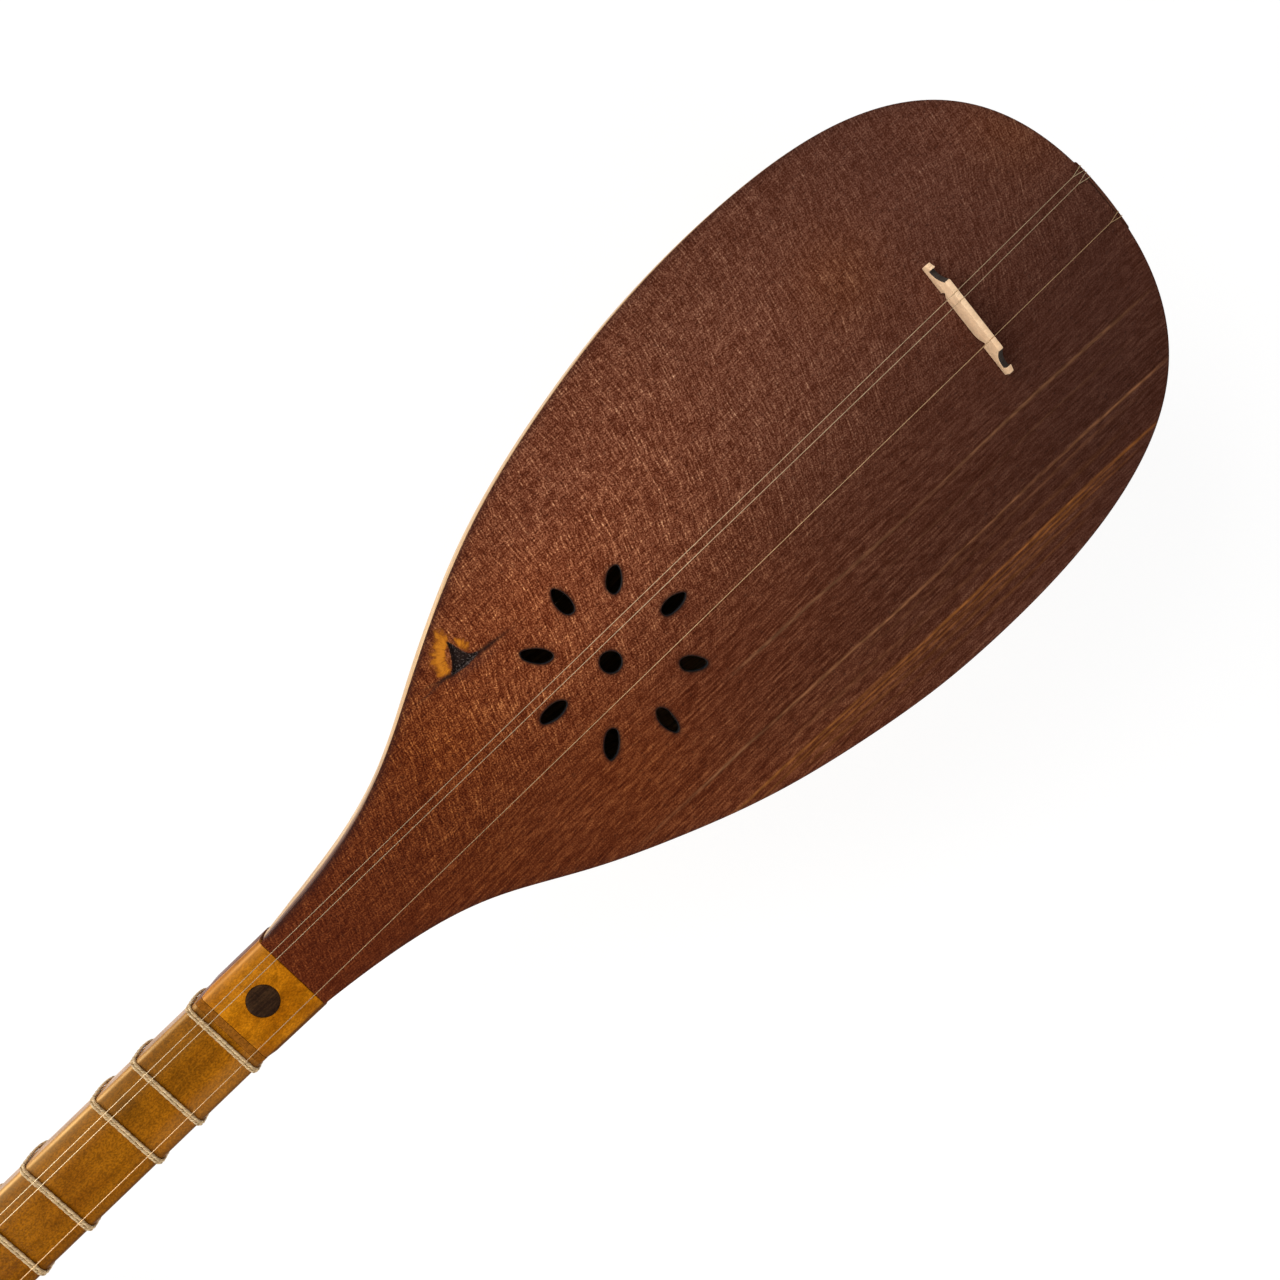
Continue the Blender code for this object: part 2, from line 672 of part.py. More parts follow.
def scoop():
    """Right end of the bridge's top, from the horn to the top's end."""
    half = BRIDGE_LENGTH / 2
    near = BRIDGE_TOP_LENGTH / 2
    far = half - HORN_LENGTH
    middle = (near + far) / 2
    reach = (far - near) / 2
    cut = BRIDGE_CHAMFER
    points = [(half, 0.0), (half, HORN_HEIGHT - cut), (half - cut, HORN_HEIGHT)]
    for i in range(SCOOP_STEPS + 1):
        turn = math.pi * i / SCOOP_STEPS
        points.append((middle + reach * math.cos(turn),
                       HORN_HEIGHT - (HORN_HEIGHT - SCOOP_FLOOR) * math.sin(turn)))
    return points + [(near, BRIDGE_HEIGHT - cut), (near - cut, BRIDGE_HEIGHT)]


bridge_end = scoop()
bridge_outline = grooved(list(bridge_end), STRING_AT_BRIDGE, BRIDGE_HEIGHT)
bridge_outline += [(-x, z) for x, z in reversed(bridge_end)]
bridge = flat_curve("bridge", [bridge_outline], BRIDGE_THICKNESS, PARTS)
bridge.rotation_euler.x = math.pi / 2
bridge.location = (0.0, -BRIDGE_REACH, GAP)
bridge = as_mesh(bridge, PARTS, BRIDGE_WOOD)
swell = cylinder("join_bridge_swell", 0.5, SWELL_HEIGHT, SWELL_SIDES, CUTTERS)
for vert in swell.data.vertices:
    vert.co.x *= SWELL_LENGTH
    vert.co.y *= 2 * (SWELL_DEPTH + BRIDGE_THICKNESS / 2)
    vert.co.y = max(vert.co.y, 0.0)
swell.location = (0.0, -BRIDGE_REACH, GAP + SWELL_HEIGHT / 2)
boolean(bridge, swell, "UNION")

# Tailpiece with a hook for each string
tail_face = -TAIL_REACH - GAP
tail_back = tail_face - TAILPIECE_THICKNESS


def tailpiece_ring(y):
    arc = u_arc(half_width(TAIL_REACH), depth(TAIL_REACH), y, -EDGE_RADIUS)
    return closed_ring(arc, TAILPIECE_PROUD, EDGE_RADIUS)


tailpiece = loft("tailpiece", [tailpiece_ring(tail_face), tailpiece_ring(tail_back)],
                 PARTS, TAIL_WOOD, crease=FLAT_CREASE)
for number, place in enumerate(HOOK_AT_TAIL, 1):
    length = HOOK_LENGTH + TAILPIECE_THICKNESS / 2
    hook = cylinder(f"join_hook_{number}", HOOK_DIAMETER / 2, length, HOOK_SIDES, CUTTERS)
    hook.rotation_euler.x = math.pi / 2
    hook.location = (place, tail_back - HOOK_LENGTH + length / 2, -HOOK_DROP)
    boolean(tailpiece, hook, "UNION")

# Frets


def fret_path(y):
    """Two turns of gut round the neck, starting at the back; y is the middle of the band."""
    ring = neck_ring(y, GAP + GUT_DIAMETER / 2)
    first = len(ring) // 2
    ring = ring[first:] + ring[:first]
    count = len(ring)
    points = []
    for i in range(FRET_TURNS * count + 1):
        shift = FRET_PITCH * (i / count - FRET_TURNS / 2)
        corner = ring[i % count]
        points.append(Vector((corner.x, shift, corner.z)))
    return points


last_fret = HEEL_LENGTH + FRET_PITCH * FRET_TURNS / 2
fret_ys = [SCALE_LENGTH / 2 ** (cents / OCTAVE_CENTS) - BRIDGE_REACH for cents in FRET_CENTS]
fret_ys = [y for y in fret_ys if y > last_fret]
for number, y in enumerate(fret_ys, 1):
    path = fret_path(y)
    fret = tube(f"fret_{number:02d}", path, GUT_DIAMETER, PARTS, GUT)
    fret.location.y = y
fret_gap = least_gap(path, GUT_DIAMETER, len(path) // FRET_TURNS - 2)
print(f"least gap between fret strands: {fret_gap / MM:.2f} mm")

# Head: its back is cut so that the tip lies flat on the ground with the bowl on it too
HEAD_Y = NECK_END_Y + GAP
HEAD_END_Y = HEAD_Y + HEAD_LENGTH
REST_Y = HEAD_END_Y - REST_LENGTH
HEAD_BACK = -HEAD_STEP - HEAD_DEPTH
rib_points = [v.co for rib in RIBS for v in rib.data.vertices]
REST_SLOPE = max((HEAD_BACK - p.z) / (REST_Y - p.y) for p in rib_points)


def head_half(y):
    return lerp(NECK_END_WIDTH, HEAD_END_WIDTH, (y - HEAD_Y) / HEAD_LENGTH) / 2


def head_ring(y, inset=0.0):
    half = head_half(y) - inset
    top = -HEAD_STEP - inset
    bottom = HEAD_BACK + max(0.0, y - REST_Y) * REST_SLOPE
    ring = []
    centres = ((1, top - HEAD_CORNER), (-1, top - HEAD_CORNER),
               (-1, bottom + HEAD_CORNER), (1, bottom + HEAD_CORNER))
    for quarter, (side, level) in enumerate(centres):
        for j in range(HEAD_CORNER_STEPS + 1):
            turn = math.pi / 2 * (quarter + j / HEAD_CORNER_STEPS)
            ring.append(Vector((side * (half - HEAD_CORNER) + HEAD_CORNER * math.cos(turn), y,
                                level + HEAD_CORNER * math.sin(turn))))
    return ring


head = loft("head", [head_ring(HEAD_Y), head_ring(REST_Y),
                     head_ring(HEAD_END_Y - HEAD_END_ROUND),
                     head_ring(HEAD_END_Y, HEAD_END_ROUND / 2)], PARTS, NECK_WOOD, crease=FLAT_CREASE)

# Pegs and the string wound on each


def peg_rings():
    """Sections along the peg's own Z axis; z = 0 at the head's face."""
    shaft = PEG_SHAFT_OUT
    collar = shaft + COLLAR_LENGTH
    waist = collar + WAIST_LENGTH
    thumb = waist + WAIST_LENGTH
    wide = THUMB_WIDTH / 2
    thick = THUMB_THICKNESS / 2
    sections = [(-PEG_IN_HEAD, PEG_TIP_RADIUS, PEG_TIP_RADIUS),
                (shaft, PEG_SHAFT_RADIUS, PEG_SHAFT_RADIUS),
                (shaft, COLLAR_RADIUS, COLLAR_RADIUS),
                (collar, COLLAR_RADIUS, COLLAR_RADIUS),
                (waist, WAIST_RADIUS, WAIST_RADIUS)]
    for share, swing in THUMB_PROFILE:
        sections.append((thumb + share * THUMB_LENGTH, swing * wide, swing * thick))
    turn = 2 * math.pi / PEG_SIDES
    return [[Vector((rx * math.cos(turn * i), ry * math.sin(turn * i), z))
             for i in range(PEG_SIDES)] for z, rx, ry in sections]


def winding_path(radius, pitch):
    steps = WINDING_TURNS * WINDING_POINTS
    points = []
    for i in range(steps + 1):
        turn = 2 * math.pi * i / WINDING_POINTS
        points.append(Vector((radius * math.cos(turn), radius * math.sin(turn),
                              WINDING_START + pitch * i / WINDING_POINTS)))
    return points


upright = Euler((0.0, 0.0, 0.0))
sideways = Euler((0.0, -math.pi / 2, 0.0))
side_y = NUT_Y + SIDE_PEG
peg_seats = [(Vector((FAR_PEG_OFFSET, NUT_Y + FAR_PEG, -HEAD_STEP)), upright),
             (Vector((NEAR_PEG_OFFSET, NUT_Y + NEAR_PEG, -HEAD_STEP)), upright),
             (Vector((-head_half(side_y), side_y, -HEAD_STEP - SIDE_PEG_DROP)), sideways)]
string_ends = []
wires = (STEEL, STEEL, BRONZE)
for number, ((spot, turn), diameter) in enumerate(zip(peg_seats, STRING_DIAMETERS), 1):
    peg = loft(f"peg_{number}", peg_rings(), PARTS, PEG_WOOD)
    peg.location = spot
    peg.rotation_euler = turn
    hole = cylinder(f"cut_peg_{number}", PEG_SHAFT_RADIUS + GAP,
                    2 * (PEG_IN_HEAD + GAP), PEG_SIDES, CUTTERS)
    hole.location = spot
    hole.rotation_euler = turn
    boolean(head, hole)

    radius = PEG_SHAFT_RADIUS + GAP + diameter / 2
    pitch = diameter + WINDING_SPACE
    path = winding_path(radius, pitch)
    winding = tube(f"winding_{number}", path, diameter, PARTS, wires[number - 1])
    winding.location = spot
    winding.rotation_euler = turn
    gap = least_gap(path, diameter, WINDING_POINTS - 3)
    print(f"least gap in winding {number}: {gap / MM:.2f} mm")
    # The string stops short of the circle that the turning winding sweeps
    clear = radius + diameter + GAP
    stop = Vector((radius, -math.sqrt(clear ** 2 - radius ** 2), WINDING_START))
    string_ends.append(spot + turn.to_matrix() @ stop)

# Strings: from the winding over nut and bridge to a loop round the hook at the tail


def tail_loop(x, hook_x, radius, fork):
    """Points of the loop: out over the edge, round the hook, back to just short of the fork."""
    edge_z = TAILPIECE_PROUD + GAP + radius
    outside = tail_back - GAP - radius
    swing = HOOK_DIAMETER / 2 + GAP + radius
    leg = LOOP_SPREAD / 2

    def down(side):
        return [Vector((x + side * leg, tail_face, edge_z)),
                Vector((x + side * leg, tail_back, edge_z)),
                Vector((x + side * leg, outside, edge_z - GAP - radius)),
                Vector((hook_x + side * swing, outside, -HOOK_DROP))]

    bend = []
    for i in range(1, HOOK_BENDS):
        turn = -math.pi * i / HOOK_BENDS
        bend.append(Vector((hook_x + swing * math.cos(turn), outside,
                            -HOOK_DROP + swing * math.sin(turn))))
    back = down(-1)[::-1]
    back.append(back[-1].lerp(fork, 0.5))
    return down(1) + bend + back


for number, diameter in enumerate(STRING_DIAMETERS, 1):
    k = number - 1
    radius = diameter / 2
    lift = STRING_LIFT - GROOVE_DEPTH + radius
    at_nut = Vector((STRING_AT_NUT[k], NUT_Y, NUT_HEIGHT + lift))
    at_bridge = Vector((STRING_AT_BRIDGE[k], -BRIDGE_REACH, GAP + BRIDGE_HEIGHT + lift))
    at_edge = Vector((STRING_AT_TAIL[k], tail_face, TAILPIECE_PROUD + GAP + radius))
    run = at_bridge.y - at_edge.y
    fork = at_edge.lerp(at_bridge, LOOP_REACH / run)
    path = [string_ends[k], at_nut, at_bridge, fork]
    path += tail_loop(STRING_AT_TAIL[k], HOOK_AT_TAIL[k], radius, fork)
    tube(f"string_{number}", path, diameter, PARTS, wires[k])

# Lay the instrument down: ground at z = 0, origin under the middle of its box
root.rotation_euler.x = -math.atan(REST_SLOPE)
bpy.context.view_layer.update()
graph = bpy.context.evaluated_depsgraph_get()
corners = []
for obj in PARTS.objects:
    if obj.type == "EMPTY":
        continue
    shape = obj.evaluated_get(graph)
    mesh = shape.to_mesh()
    corners += [obj.matrix_world @ v.co for v in mesh.vertices]
    shape.to_mesh_clear()
for axis in (0, 1):
    values = [c[axis] for c in corners]
    root.location[axis] = -(min(values) + max(values)) / 2
root.location.z = -min(c.z for c in corners)
bpy.context.view_layer.update()
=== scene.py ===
"""Looks of the tanbur. Pieces are made in the instrument's own frame: y = 0 at the joint plate,
+Y towards the head, z = 0 at the soundboard's top, +X on the side of the paired strings."""

import json
import math

import bmesh
import bpy
import numpy as np
from mathutils import Euler, Matrix, Vector, noise


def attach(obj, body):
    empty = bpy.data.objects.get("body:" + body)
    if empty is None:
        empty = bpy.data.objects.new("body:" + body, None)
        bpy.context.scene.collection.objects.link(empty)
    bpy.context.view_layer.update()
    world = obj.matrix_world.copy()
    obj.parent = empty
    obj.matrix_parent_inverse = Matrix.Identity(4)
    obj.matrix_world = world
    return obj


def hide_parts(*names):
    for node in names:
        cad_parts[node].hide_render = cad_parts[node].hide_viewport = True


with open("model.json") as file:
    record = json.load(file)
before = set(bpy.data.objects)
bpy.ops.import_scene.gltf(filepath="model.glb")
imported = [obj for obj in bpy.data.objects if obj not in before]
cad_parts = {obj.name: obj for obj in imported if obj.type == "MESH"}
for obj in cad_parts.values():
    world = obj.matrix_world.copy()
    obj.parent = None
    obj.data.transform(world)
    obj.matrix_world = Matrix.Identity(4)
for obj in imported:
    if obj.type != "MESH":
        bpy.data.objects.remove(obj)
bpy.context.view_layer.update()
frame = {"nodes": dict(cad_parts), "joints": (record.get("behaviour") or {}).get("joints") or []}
NODES = frame["nodes"]
MM = 0.001
GAP = 0.3 * MM          # glue line or running gap between two pieces
TURN = 2 * math.pi
QUARTER = math.pi / 2


# Frame of the instrument

def joint_axis(name):
    return Vector(next(j["axis"] for j in frame["joints"] if j["name"] == name)).normalized()


ALONG = joint_axis("bridge_shift")
UP = joint_axis("peg_1_turn")
ACROSS = ALONG.cross(UP)
board_points = [v.co for v in NODES["soundboard"].data.vertices]
ORIGIN = ALONG * max(p.dot(ALONG) for p in board_points)
ORIGIN += UP * max(p.dot(UP) for p in board_points)
HOME = Matrix.Translation(ORIGIN) @ Matrix((ACROSS, ALONG, UP)).transposed().to_4x4()


# Materials

class Value:
    """What a node gives out. Arithmetic with a number of this kind adds further nodes."""

    def __init__(self, nodes, socket):
        self.nodes = nodes
        self.socket = socket

    def __add__(self, other):
        return self.nodes.math("ADD", self, other)

    def __sub__(self, other):
        return self.nodes.math("SUBTRACT", self, other)

    def __rsub__(self, other):
        return self.nodes.math("SUBTRACT", other, self)

    def __mul__(self, other):
        return self.nodes.math("MULTIPLY", self, other)

    def __truediv__(self, other):
        return self.nodes.math("DIVIDE", self, other)

    def __abs__(self):
        return self.nodes.math("ABSOLUTE", self)

    __radd__ = __add__
    __rmul__ = __mul__


class Nodes:
    """Short calls for the nodes of one tree. An input is a Value, a plain value or None."""

    def __init__(self, tree):
        self.tree = tree

    def put(self, socket, value):
        if isinstance(value, Value):
            self.tree.links.new(value.socket, socket)
        elif value is not None:
            if socket.type == "RGBA" and len(value) == 3:
                value = (*value, 1.0)
            socket.default_value = value

    def make(self, kind, inputs, **props):
        node = self.tree.nodes.new("ShaderNode" + kind)
        for key, value in props.items():
            setattr(node, key, value)
        for key, value in inputs.items():
            self.put(node.inputs[key], value)
        return node

    def add(self, kind, inputs, output=0, **props):
        return Value(self, self.make(kind, inputs, **props).outputs[output])

    def math(self, op, a, b=None):
        return self.add("Math", {0: a, 1: b}, operation=op)

    def split(self, vector):
        return [Value(self, socket) for socket in self.make("SeparateXYZ", {0: vector}).outputs]


class Mat(Nodes):
    """A Principled material."""

    def __init__(self, name, **settings):
        self.mat = bpy.data.materials.new(name)
        self.mat.use_nodes = True
        super().__init__(self.mat.node_tree)
        self.bsdf = self.tree.nodes["Principled BSDF"]
        for key, value in settings.items():
            self.bsdf.inputs[key.replace("_", " ")].default_value = value

    def coords(self, kind="Object"):
        """Position in millimetres, for Object in the instrument's frame, and its three numbers."""
        place, turn = (ORIGIN, HOME.to_euler()) if kind == "Object" else ((0, 0, 0), (0, 0, 0))
        spot = self.add("Mapping", {"Vector": self.add("TexCoord", {}, kind), "Location": place,
                                    "Rotation": turn, "Scale": (MM,) * 3}, vector_type="TEXTURE")
        return spot, *self.split(spot)

    def join(self, x, y, z=0.0):
        return self.add("CombineXYZ", {0: x, 1: y, 2: z})

    def noise(self, vector, sizes, detail=2.0, rough=0.5, shift=0.0):
        """Noise from 0 to 1 whose grains have these sizes, in millimetres."""
        vector = self.add("VectorMath", {0: vector, 1: tuple(1.0 / s for s in sizes),
                                         2: (shift, shift * 0.7, shift * 1.3)},
                          operation="MULTIPLY_ADD")
        return self.add("TexNoise", {"Vector": vector, "Scale": 1.0, "Detail": detail,
                                     "Roughness": rough})

    def span(self, value, low, high, to_low=0.0, to_high=1.0):
        """Smooth step of a value from one range to another."""
        return self.add("MapRange", {0: value, 1: low, 2: high, 3: to_low, 4: to_high},
                        interpolation_type="SMOOTHSTEP")

    def hill(self, value, middle, width):
        """1 at the middle, falling to 0 at about two widths from it."""
        apart = (value - middle) / width
        return self.math("EXPONENT", apart * apart * -1.0)

    def mix(self, share, a, b):
        return self.add("Mix", {0: share, 6: a, 7: b}, 2, data_type="RGBA")

    def tint(self, colour, gain):
        """A colour times a number."""
        return self.add("VectorMath", {0: colour, "Scale": gain}, operation="SCALE")

    def filtered(self, colour, gains):
        """A colour with a gain for each channel."""
        return self.add("VectorMath", {0: colour, 1: gains}, operation="MULTIPLY")

    def painted(self, name):
        """A mesh attribute."""
        return self.add("Attribute", {}, "Fac", attribute_name=name)

    def ramp(self, value, stops):
        node = self.make("ValToRGB", {0: value})
        marks = node.color_ramp.elements
        while len(marks) < len(stops):
            marks.new(0.5)
        for mark, (place, colour) in zip(marks, stops):
            mark.position = place
            mark.color = (*colour, 1.0)
        return Value(self, node.outputs[0])

    def bump(self, height, distance, strength=1.0):
        return self.add("Bump", {"Height": height, "Distance": distance, "Strength": strength})

    def done(self, colour, roughness, normal):
        self.put(self.bsdf.inputs["Base Color"], colour)
        self.put(self.bsdf.inputs["Roughness"], roughness)
        self.put(self.bsdf.inputs["Normal"], normal)
        return self.mat


def grey(value):
    return (value, value, value)


# Soundboard wood. Places are in millimetres of the instrument's frame.

BOARD_LENGTH = 352.0
# Wood tone with painted shade along the board, dimming towards the tail
BOARD_TONE_AND_SHADE = [  # share of the way to the tail, colour
    (0.05, (0.095, 0.0182, 0.0046)), (0.20, (0.116, 0.0252, 0.0064)), (0.38, (0.147, 0.0362, 0.0130)),
    (0.62, (0.102, 0.0318, 0.0168)), (0.85, (0.075, 0.0252, 0.0155))]
# Wood tone with painted shade across the board, darker towards -X
BOARD_LEVEL_AND_SHADE = [  # share of the way from -X to +X, brightness
    (0.0, 0.45), (0.19, 0.365), (0.44, 0.48), (0.6, 0.65), (0.78, 0.745), (1.0, 0.64)]
WARM_SPOTS = [  # x, y, reach
    (35.0, -345.0, 16.0), (38.0, -272.0, 14.0), (18.0, -84.0, 15.0), (-30.0, -120.0, 22.0)]
STREAKS = [  # x, half width, y at the tail end, y at the neck end, strength, colour
    (-28.6, 0.55, -352.0, -155.0, 0.80, (0.165, 0.072, 0.034)),
    (-36.5, 0.45, -340.0, -200.0, 0.30, (0.140, 0.060, 0.030)),
    (-49.0, 0.45, -345.0, -98.0, 0.90, (0.230, 0.096, 0.042)),
    (-51.6, 0.60, -330.0, -190.0, 0.40, (0.150, 0.058, 0.026)),
    (-57.0, 0.80, -320.0, -150.0, 0.35, (0.140, 0.052, 0.020)),
    (-62.4, 0.50, -330.0, -120.0, 0.90, (0.255, 0.088, 0.020)),
    (-63.8, 0.40, -310.0, -140.0, 0.75, (0.235, 0.080, 0.018)),
    (-65.0, 0.45, -315.0, -130.0, 0.60, (0.215, 0.072, 0.018)),
    (-66.8, 0.70, -300.0, -150.0, 0.50, (0.180, 0.062, 0.016)),
    (-70.0, 0.60, -290.0, -165.0, 0.40, (0.160, 0.056, 0.016)),
]
KNOT_X, KNOT_Y = 35.5, -105.6
KNOT_GLOW = [  # x, y, reach across, reach along
    (43.9, -106.2, 2.0, 2.0), (41.6, -104.2, 2.2, 2.2), (39.8, -102.2, 2.5, 2.5),
    (37.6, -100.0, 2.9, 2.9), (35.0, -99.2, 2.2, 2.2), (36.8, -109.3, 1.8, 1.6), (38.8, -108.5, 1.4, 1.3)]
CRACK_X, CRACK_Y = 32.4, -107.0
CRACK_STRAIGHT = (-106.0, -100.4)   # y from where to where the crack runs straight
BRANCH_X = 33.1
KNOT_TONES = [(0.1, (0.15, 0.042, 0.008)), (0.34, (0.36, 0.106, 0.008)), (0.60, (0.60, 0.205, 0.014))]


def board_tone(m, x, y, along, fleck_side):
    """Broad tones, partly the wood's own and partly painted shade: duller towards the tail, darker away
    from the paired strings, a few warm spots, and a patch of painted shade near the +X edge.
    """
    # wood tone and painted shade from the ramps across and along the board
    sides = m.ramp((x + 80.0) / 160.0, [(place, grey(level)) for place, level in BOARD_LEVEL_AND_SHADE])
    upper = m.span(x, -20.0, 20.0, 0.525, 0.57)
    gain = m.add("Mix", {0: m.span(along, 0.1, 0.5), 2: upper, 3: sides})
    tone = m.tint(m.ramp(along, BOARD_TONE_AND_SHADE), gain * 2.0)
    red = m.split(tone)[0]
    dull = m.join(red, red * 0.36, red * 0.22)
    tone = m.mix(fleck_side * m.span(along, 0.3, 0.5, 0.0, 0.14), tone, dull)
    warm = sum(m.hill(x, at_x, reach) * m.hill(y, at_y, reach) for at_x, at_y, reach in WARM_SPOTS)
    tone = m.mix(warm * 0.6, tone, m.filtered(tone, (1.16, 1.12, 0.84)))
    # painted shade: a darker, bluer patch near the +X edge beside the rosette
    painted_shade = m.span(x, 30.0, 54.0, 0.0, 0.65) * m.hill(y, -135.0, 45.0)
    return m.mix(painted_shade, tone, m.filtered(tone, (0.80, 0.90, 1.08)))


def streaked(m, tone, place, along, grained):
    """Pale and orange streaks near the single string's edge, drifting outwards to the tail."""
    spot, x, y, z = place
    wander = (m.noise(spot, (900.0, 70.0, 900.0), 2.0, 0.5, 31.0) - 0.5) * 3.0
    lane = x + wander + (along - 0.45) * 8.0
    broken = m.span(m.noise(spot, (1.0, 34.0, 2.0), 3.0, 0.6, 37.0), 0.34, 0.60, 0.25, 1.0)
    for middle, width, low, high, strength, colour in STREAKS:
        ends = m.span(y, high, high - 22.0) * m.span(y, low, low + 30.0)
        mask = m.hill(lane, middle, width) * ends * broken
        tone = m.mix(mask * strength, tone, m.tint(colour, grained))
    return tone


def knotted(m, tone, place, speck):
    """The knot: orange wood round a black pit, on a dark line of grain."""
    spot, x, y, z = place
    fray = m.noise(spot, (2.6, 2.6, 2.6), 4.0, 0.65, 41.0) - 0.5
    frayed_x, frayed_y = x + fray * 5.0, y + fray * 4.0
    glow = sum(m.hill(frayed_x, at_x, across) * m.hill(frayed_y, at_y, reach)
               for at_x, at_y, across, reach in KNOT_GLOW)
    out_x, out_y = x - KNOT_X, y - KNOT_Y
    turn = m.math("ARCTAN2", out_x, out_y)
    apart = m.math("SQRT", out_x * out_x + out_y * out_y)
    fibre = m.noise(m.join(turn * 5.0, apart, z), (0.55, 2.6, 1.0), 3.0, 0.65, 43.0)
    orange = m.ramp(glow * 0.44 + (fibre - 0.5) * 1.1, KNOT_TONES)
    spread = glow * m.span(m.noise(spot, (3.0, 2.4, 3.0), 2.0, 0.5, 47.0), 0.30, 0.62, 0.45, 1.15)
    tone = m.mix(m.span(spread + fray * 0.6, 0.10, 0.75, 0.0, 0.94), tone, orange)

    # the dark line bends away from the knot at both ends
    fall = m.math("MAXIMUM", CRACK_STRAIGHT[0] - y, 0.0)
    climb = m.math("MAXIMUM", y - CRACK_STRAIGHT[1], 0.0)
    line = x - CRACK_X + fall * 0.13 - climb * 0.29
    near = m.hill(y, CRACK_Y, 15.0)
    crack = m.hill(line, fray * 0.8, near * 0.6 + 0.35) * m.span(near, 0.05, 0.8)
    tone = m.mix(crack * 0.92, tone, (0.016, 0.007, 0.005))
    branch = m.hill(x - BRANCH_X, fray * 0.9, 0.5) * m.span(y, -101.0, -97.0) * m.span(y, -80.0, -94.0)
    tone = m.mix(branch * m.span(speck, 0.35, 0.6, 0.75, 0.45), tone, (0.026, 0.012, 0.009))
    below = m.hill(line, -2.0, 1.6) * m.hill(y, CRACK_Y, 9.0)
    tone = m.mix(below * 0.35, tone, (0.050, 0.022, 0.018))
    dust = speck + m.span(line, 2.2, -0.2, 0.0, 0.10)
    ash = m.mix(m.span(dust, 0.58, 0.82), (0.012, 0.008, 0.007), (0.095, 0.075, 0.068))
    return m.mix(m.painted("pit") * 0.97, tone, ash)


def board_material():
    """Dark oiled mulberry: ray fleck on one half, straight streaks on the other, a knot."""
    m = Mat("board_mulberry", Specular_IOR_Level=0.04)
    place = m.coords()
    spot, x, y, z = place
    sway = (m.noise(spot, (60.0, 90.0, 60.0), 1.0) - 0.5) * 7.0
    grain = m.join(x + sway, y, z)
    along = y / -BOARD_LENGTH
    fleck_side = m.span(x, -32.0, 12.0)
    tone = board_tone(m, x, y, along, fleck_side)

    # grain lines along the instrument, rays across it, and the specks where they meet
    bands = m.noise(grain, (5.0, 260.0, 5.0), 3.0, 0.6)
    lines = m.noise(grain, (0.55, 95.0, 0.5), 1.0, 0.5, 3.0)
    fine = m.noise(grain, (0.55, 3.4, 0.6), 0.0, 0.5, 5.0)
    patches = m.noise(spot, (14.0, 20.0, 14.0), 2.0, 0.5, 7.0)
    arc = x - 60.0
    lean = y + x * 0.16 + arc * arc * -0.003
    lean = lean + m.noise(spot, (26.0, 30.0, 26.0), 1.0, 0.5, 9.0) * 9.0
    leaning = m.join(x, lean, z)
    fleck = m.noise(leaning, (3.2, 0.55, 1.0), 0.0, 0.5, 11.0)
    speck = m.noise(spot, (0.48, 0.48, 0.48), 0.0, 0.5, 17.0)
    rays = fleck_side * m.span(patches, 0.30, 0.62, 0.7, 1.2)
    beat = abs(m.math("FRACT", lean / 1.25) - 0.5)
    whole = m.noise(leaning, (9.0, 2.2, 1.0), 1.0, 0.5, 13.0)
    ray_line = m.span(beat, 0.30, 0.05) * m.span(whole, 0.44, 0.60) * rays
    rows = m.math("FRACT", m.noise(grain, (13.0, 110.0, 13.0), 2.0, 0.5, 19.0) * 9.0)
    row_line = m.span(abs(rows - 0.5), 0.16, 0.0) * m.span(fine, 0.3, 0.6)

    # each pattern has its strength on the plain half and on the flecked half
    figure = row_line * m.span(fleck_side, 0.0, 1.0, -0.06, -0.22) + ray_line * 0.58
    for pattern, plain, flecked in ((bands, 0.65, 0.2), (lines, 1.8, 0.6), (fine, 1.8, 1.4),
                                    (speck, 1.75, 3.5)):
        figure = figure + (pattern - 0.5) * m.span(fleck_side, 0.0, 1.0, plain, flecked)
    figure = figure + (fleck - 0.5) * (rays * 1.6 + 0.3) - 0.08
    figure = figure * (m.span(along, 0.5, 0.88, 1.0, 0.62) * m.span(along, 0.0, 0.22, 0.72, 1.0))
    depth = abs(figure)
    gains = [m.math("EXPONENT", figure * power - depth * sink)
             for power, sink in ((0.76, 0.0), (1.10, 0.04), (1.32, 0.22))]
    tone = m.filtered(tone, m.join(*gains))
    pore = m.span(m.noise(grain, (0.45, 2.0, 0.5), 0.0, 0.5, 23.0), 0.64, 0.76)
    tone = m.mix(pore * 0.5, tone, m.tint(tone, 0.45))
    tone = streaked(m, tone, place, along, m.span(fine, 0.3, 0.7, 0.75, 1.25))
    tone = knotted(m, tone, place, speck)

    # scorched rims of the sound holes and the stained edge of the board
    tone = m.mix(m.painted("scorch") * 0.85, tone, (0.010, 0.005, 0.004))
    tone = m.mix(m.painted("rim") * 0.7, tone, (0.022, 0.011, 0.010))
    height = lines * 0.5 + fleck * 0.35 - pore * 0.8
    shine = 0.50 + pore * 0.18 - fleck * 0.08
    return m.done(tone, shine, m.bump(height, 0.05 * MM, 0.6))


def burnt_material():
    """Walls of the sound holes, blackened with a hot iron."""
    m = Mat("board_scorched", Specular_IOR_Level=0.1)
    soot = m.noise(m.coords()[0], (0.9, 0.9, 0.5), 3.0, 0.6)
    colour = m.mix(m.span(soot, 0.35, 0.7), (0.006, 0.006, 0.006), (0.030, 0.029, 0.030))
    return m.done(colour, m.span(soot, 0.2, 0.8, 0.4, 0.6), m.bump(soot, 0.12 * MM))


# Other woods, gut, wire and bone

FIGURE = (0.34, 0.72)   # range of the noise from light to dark wood


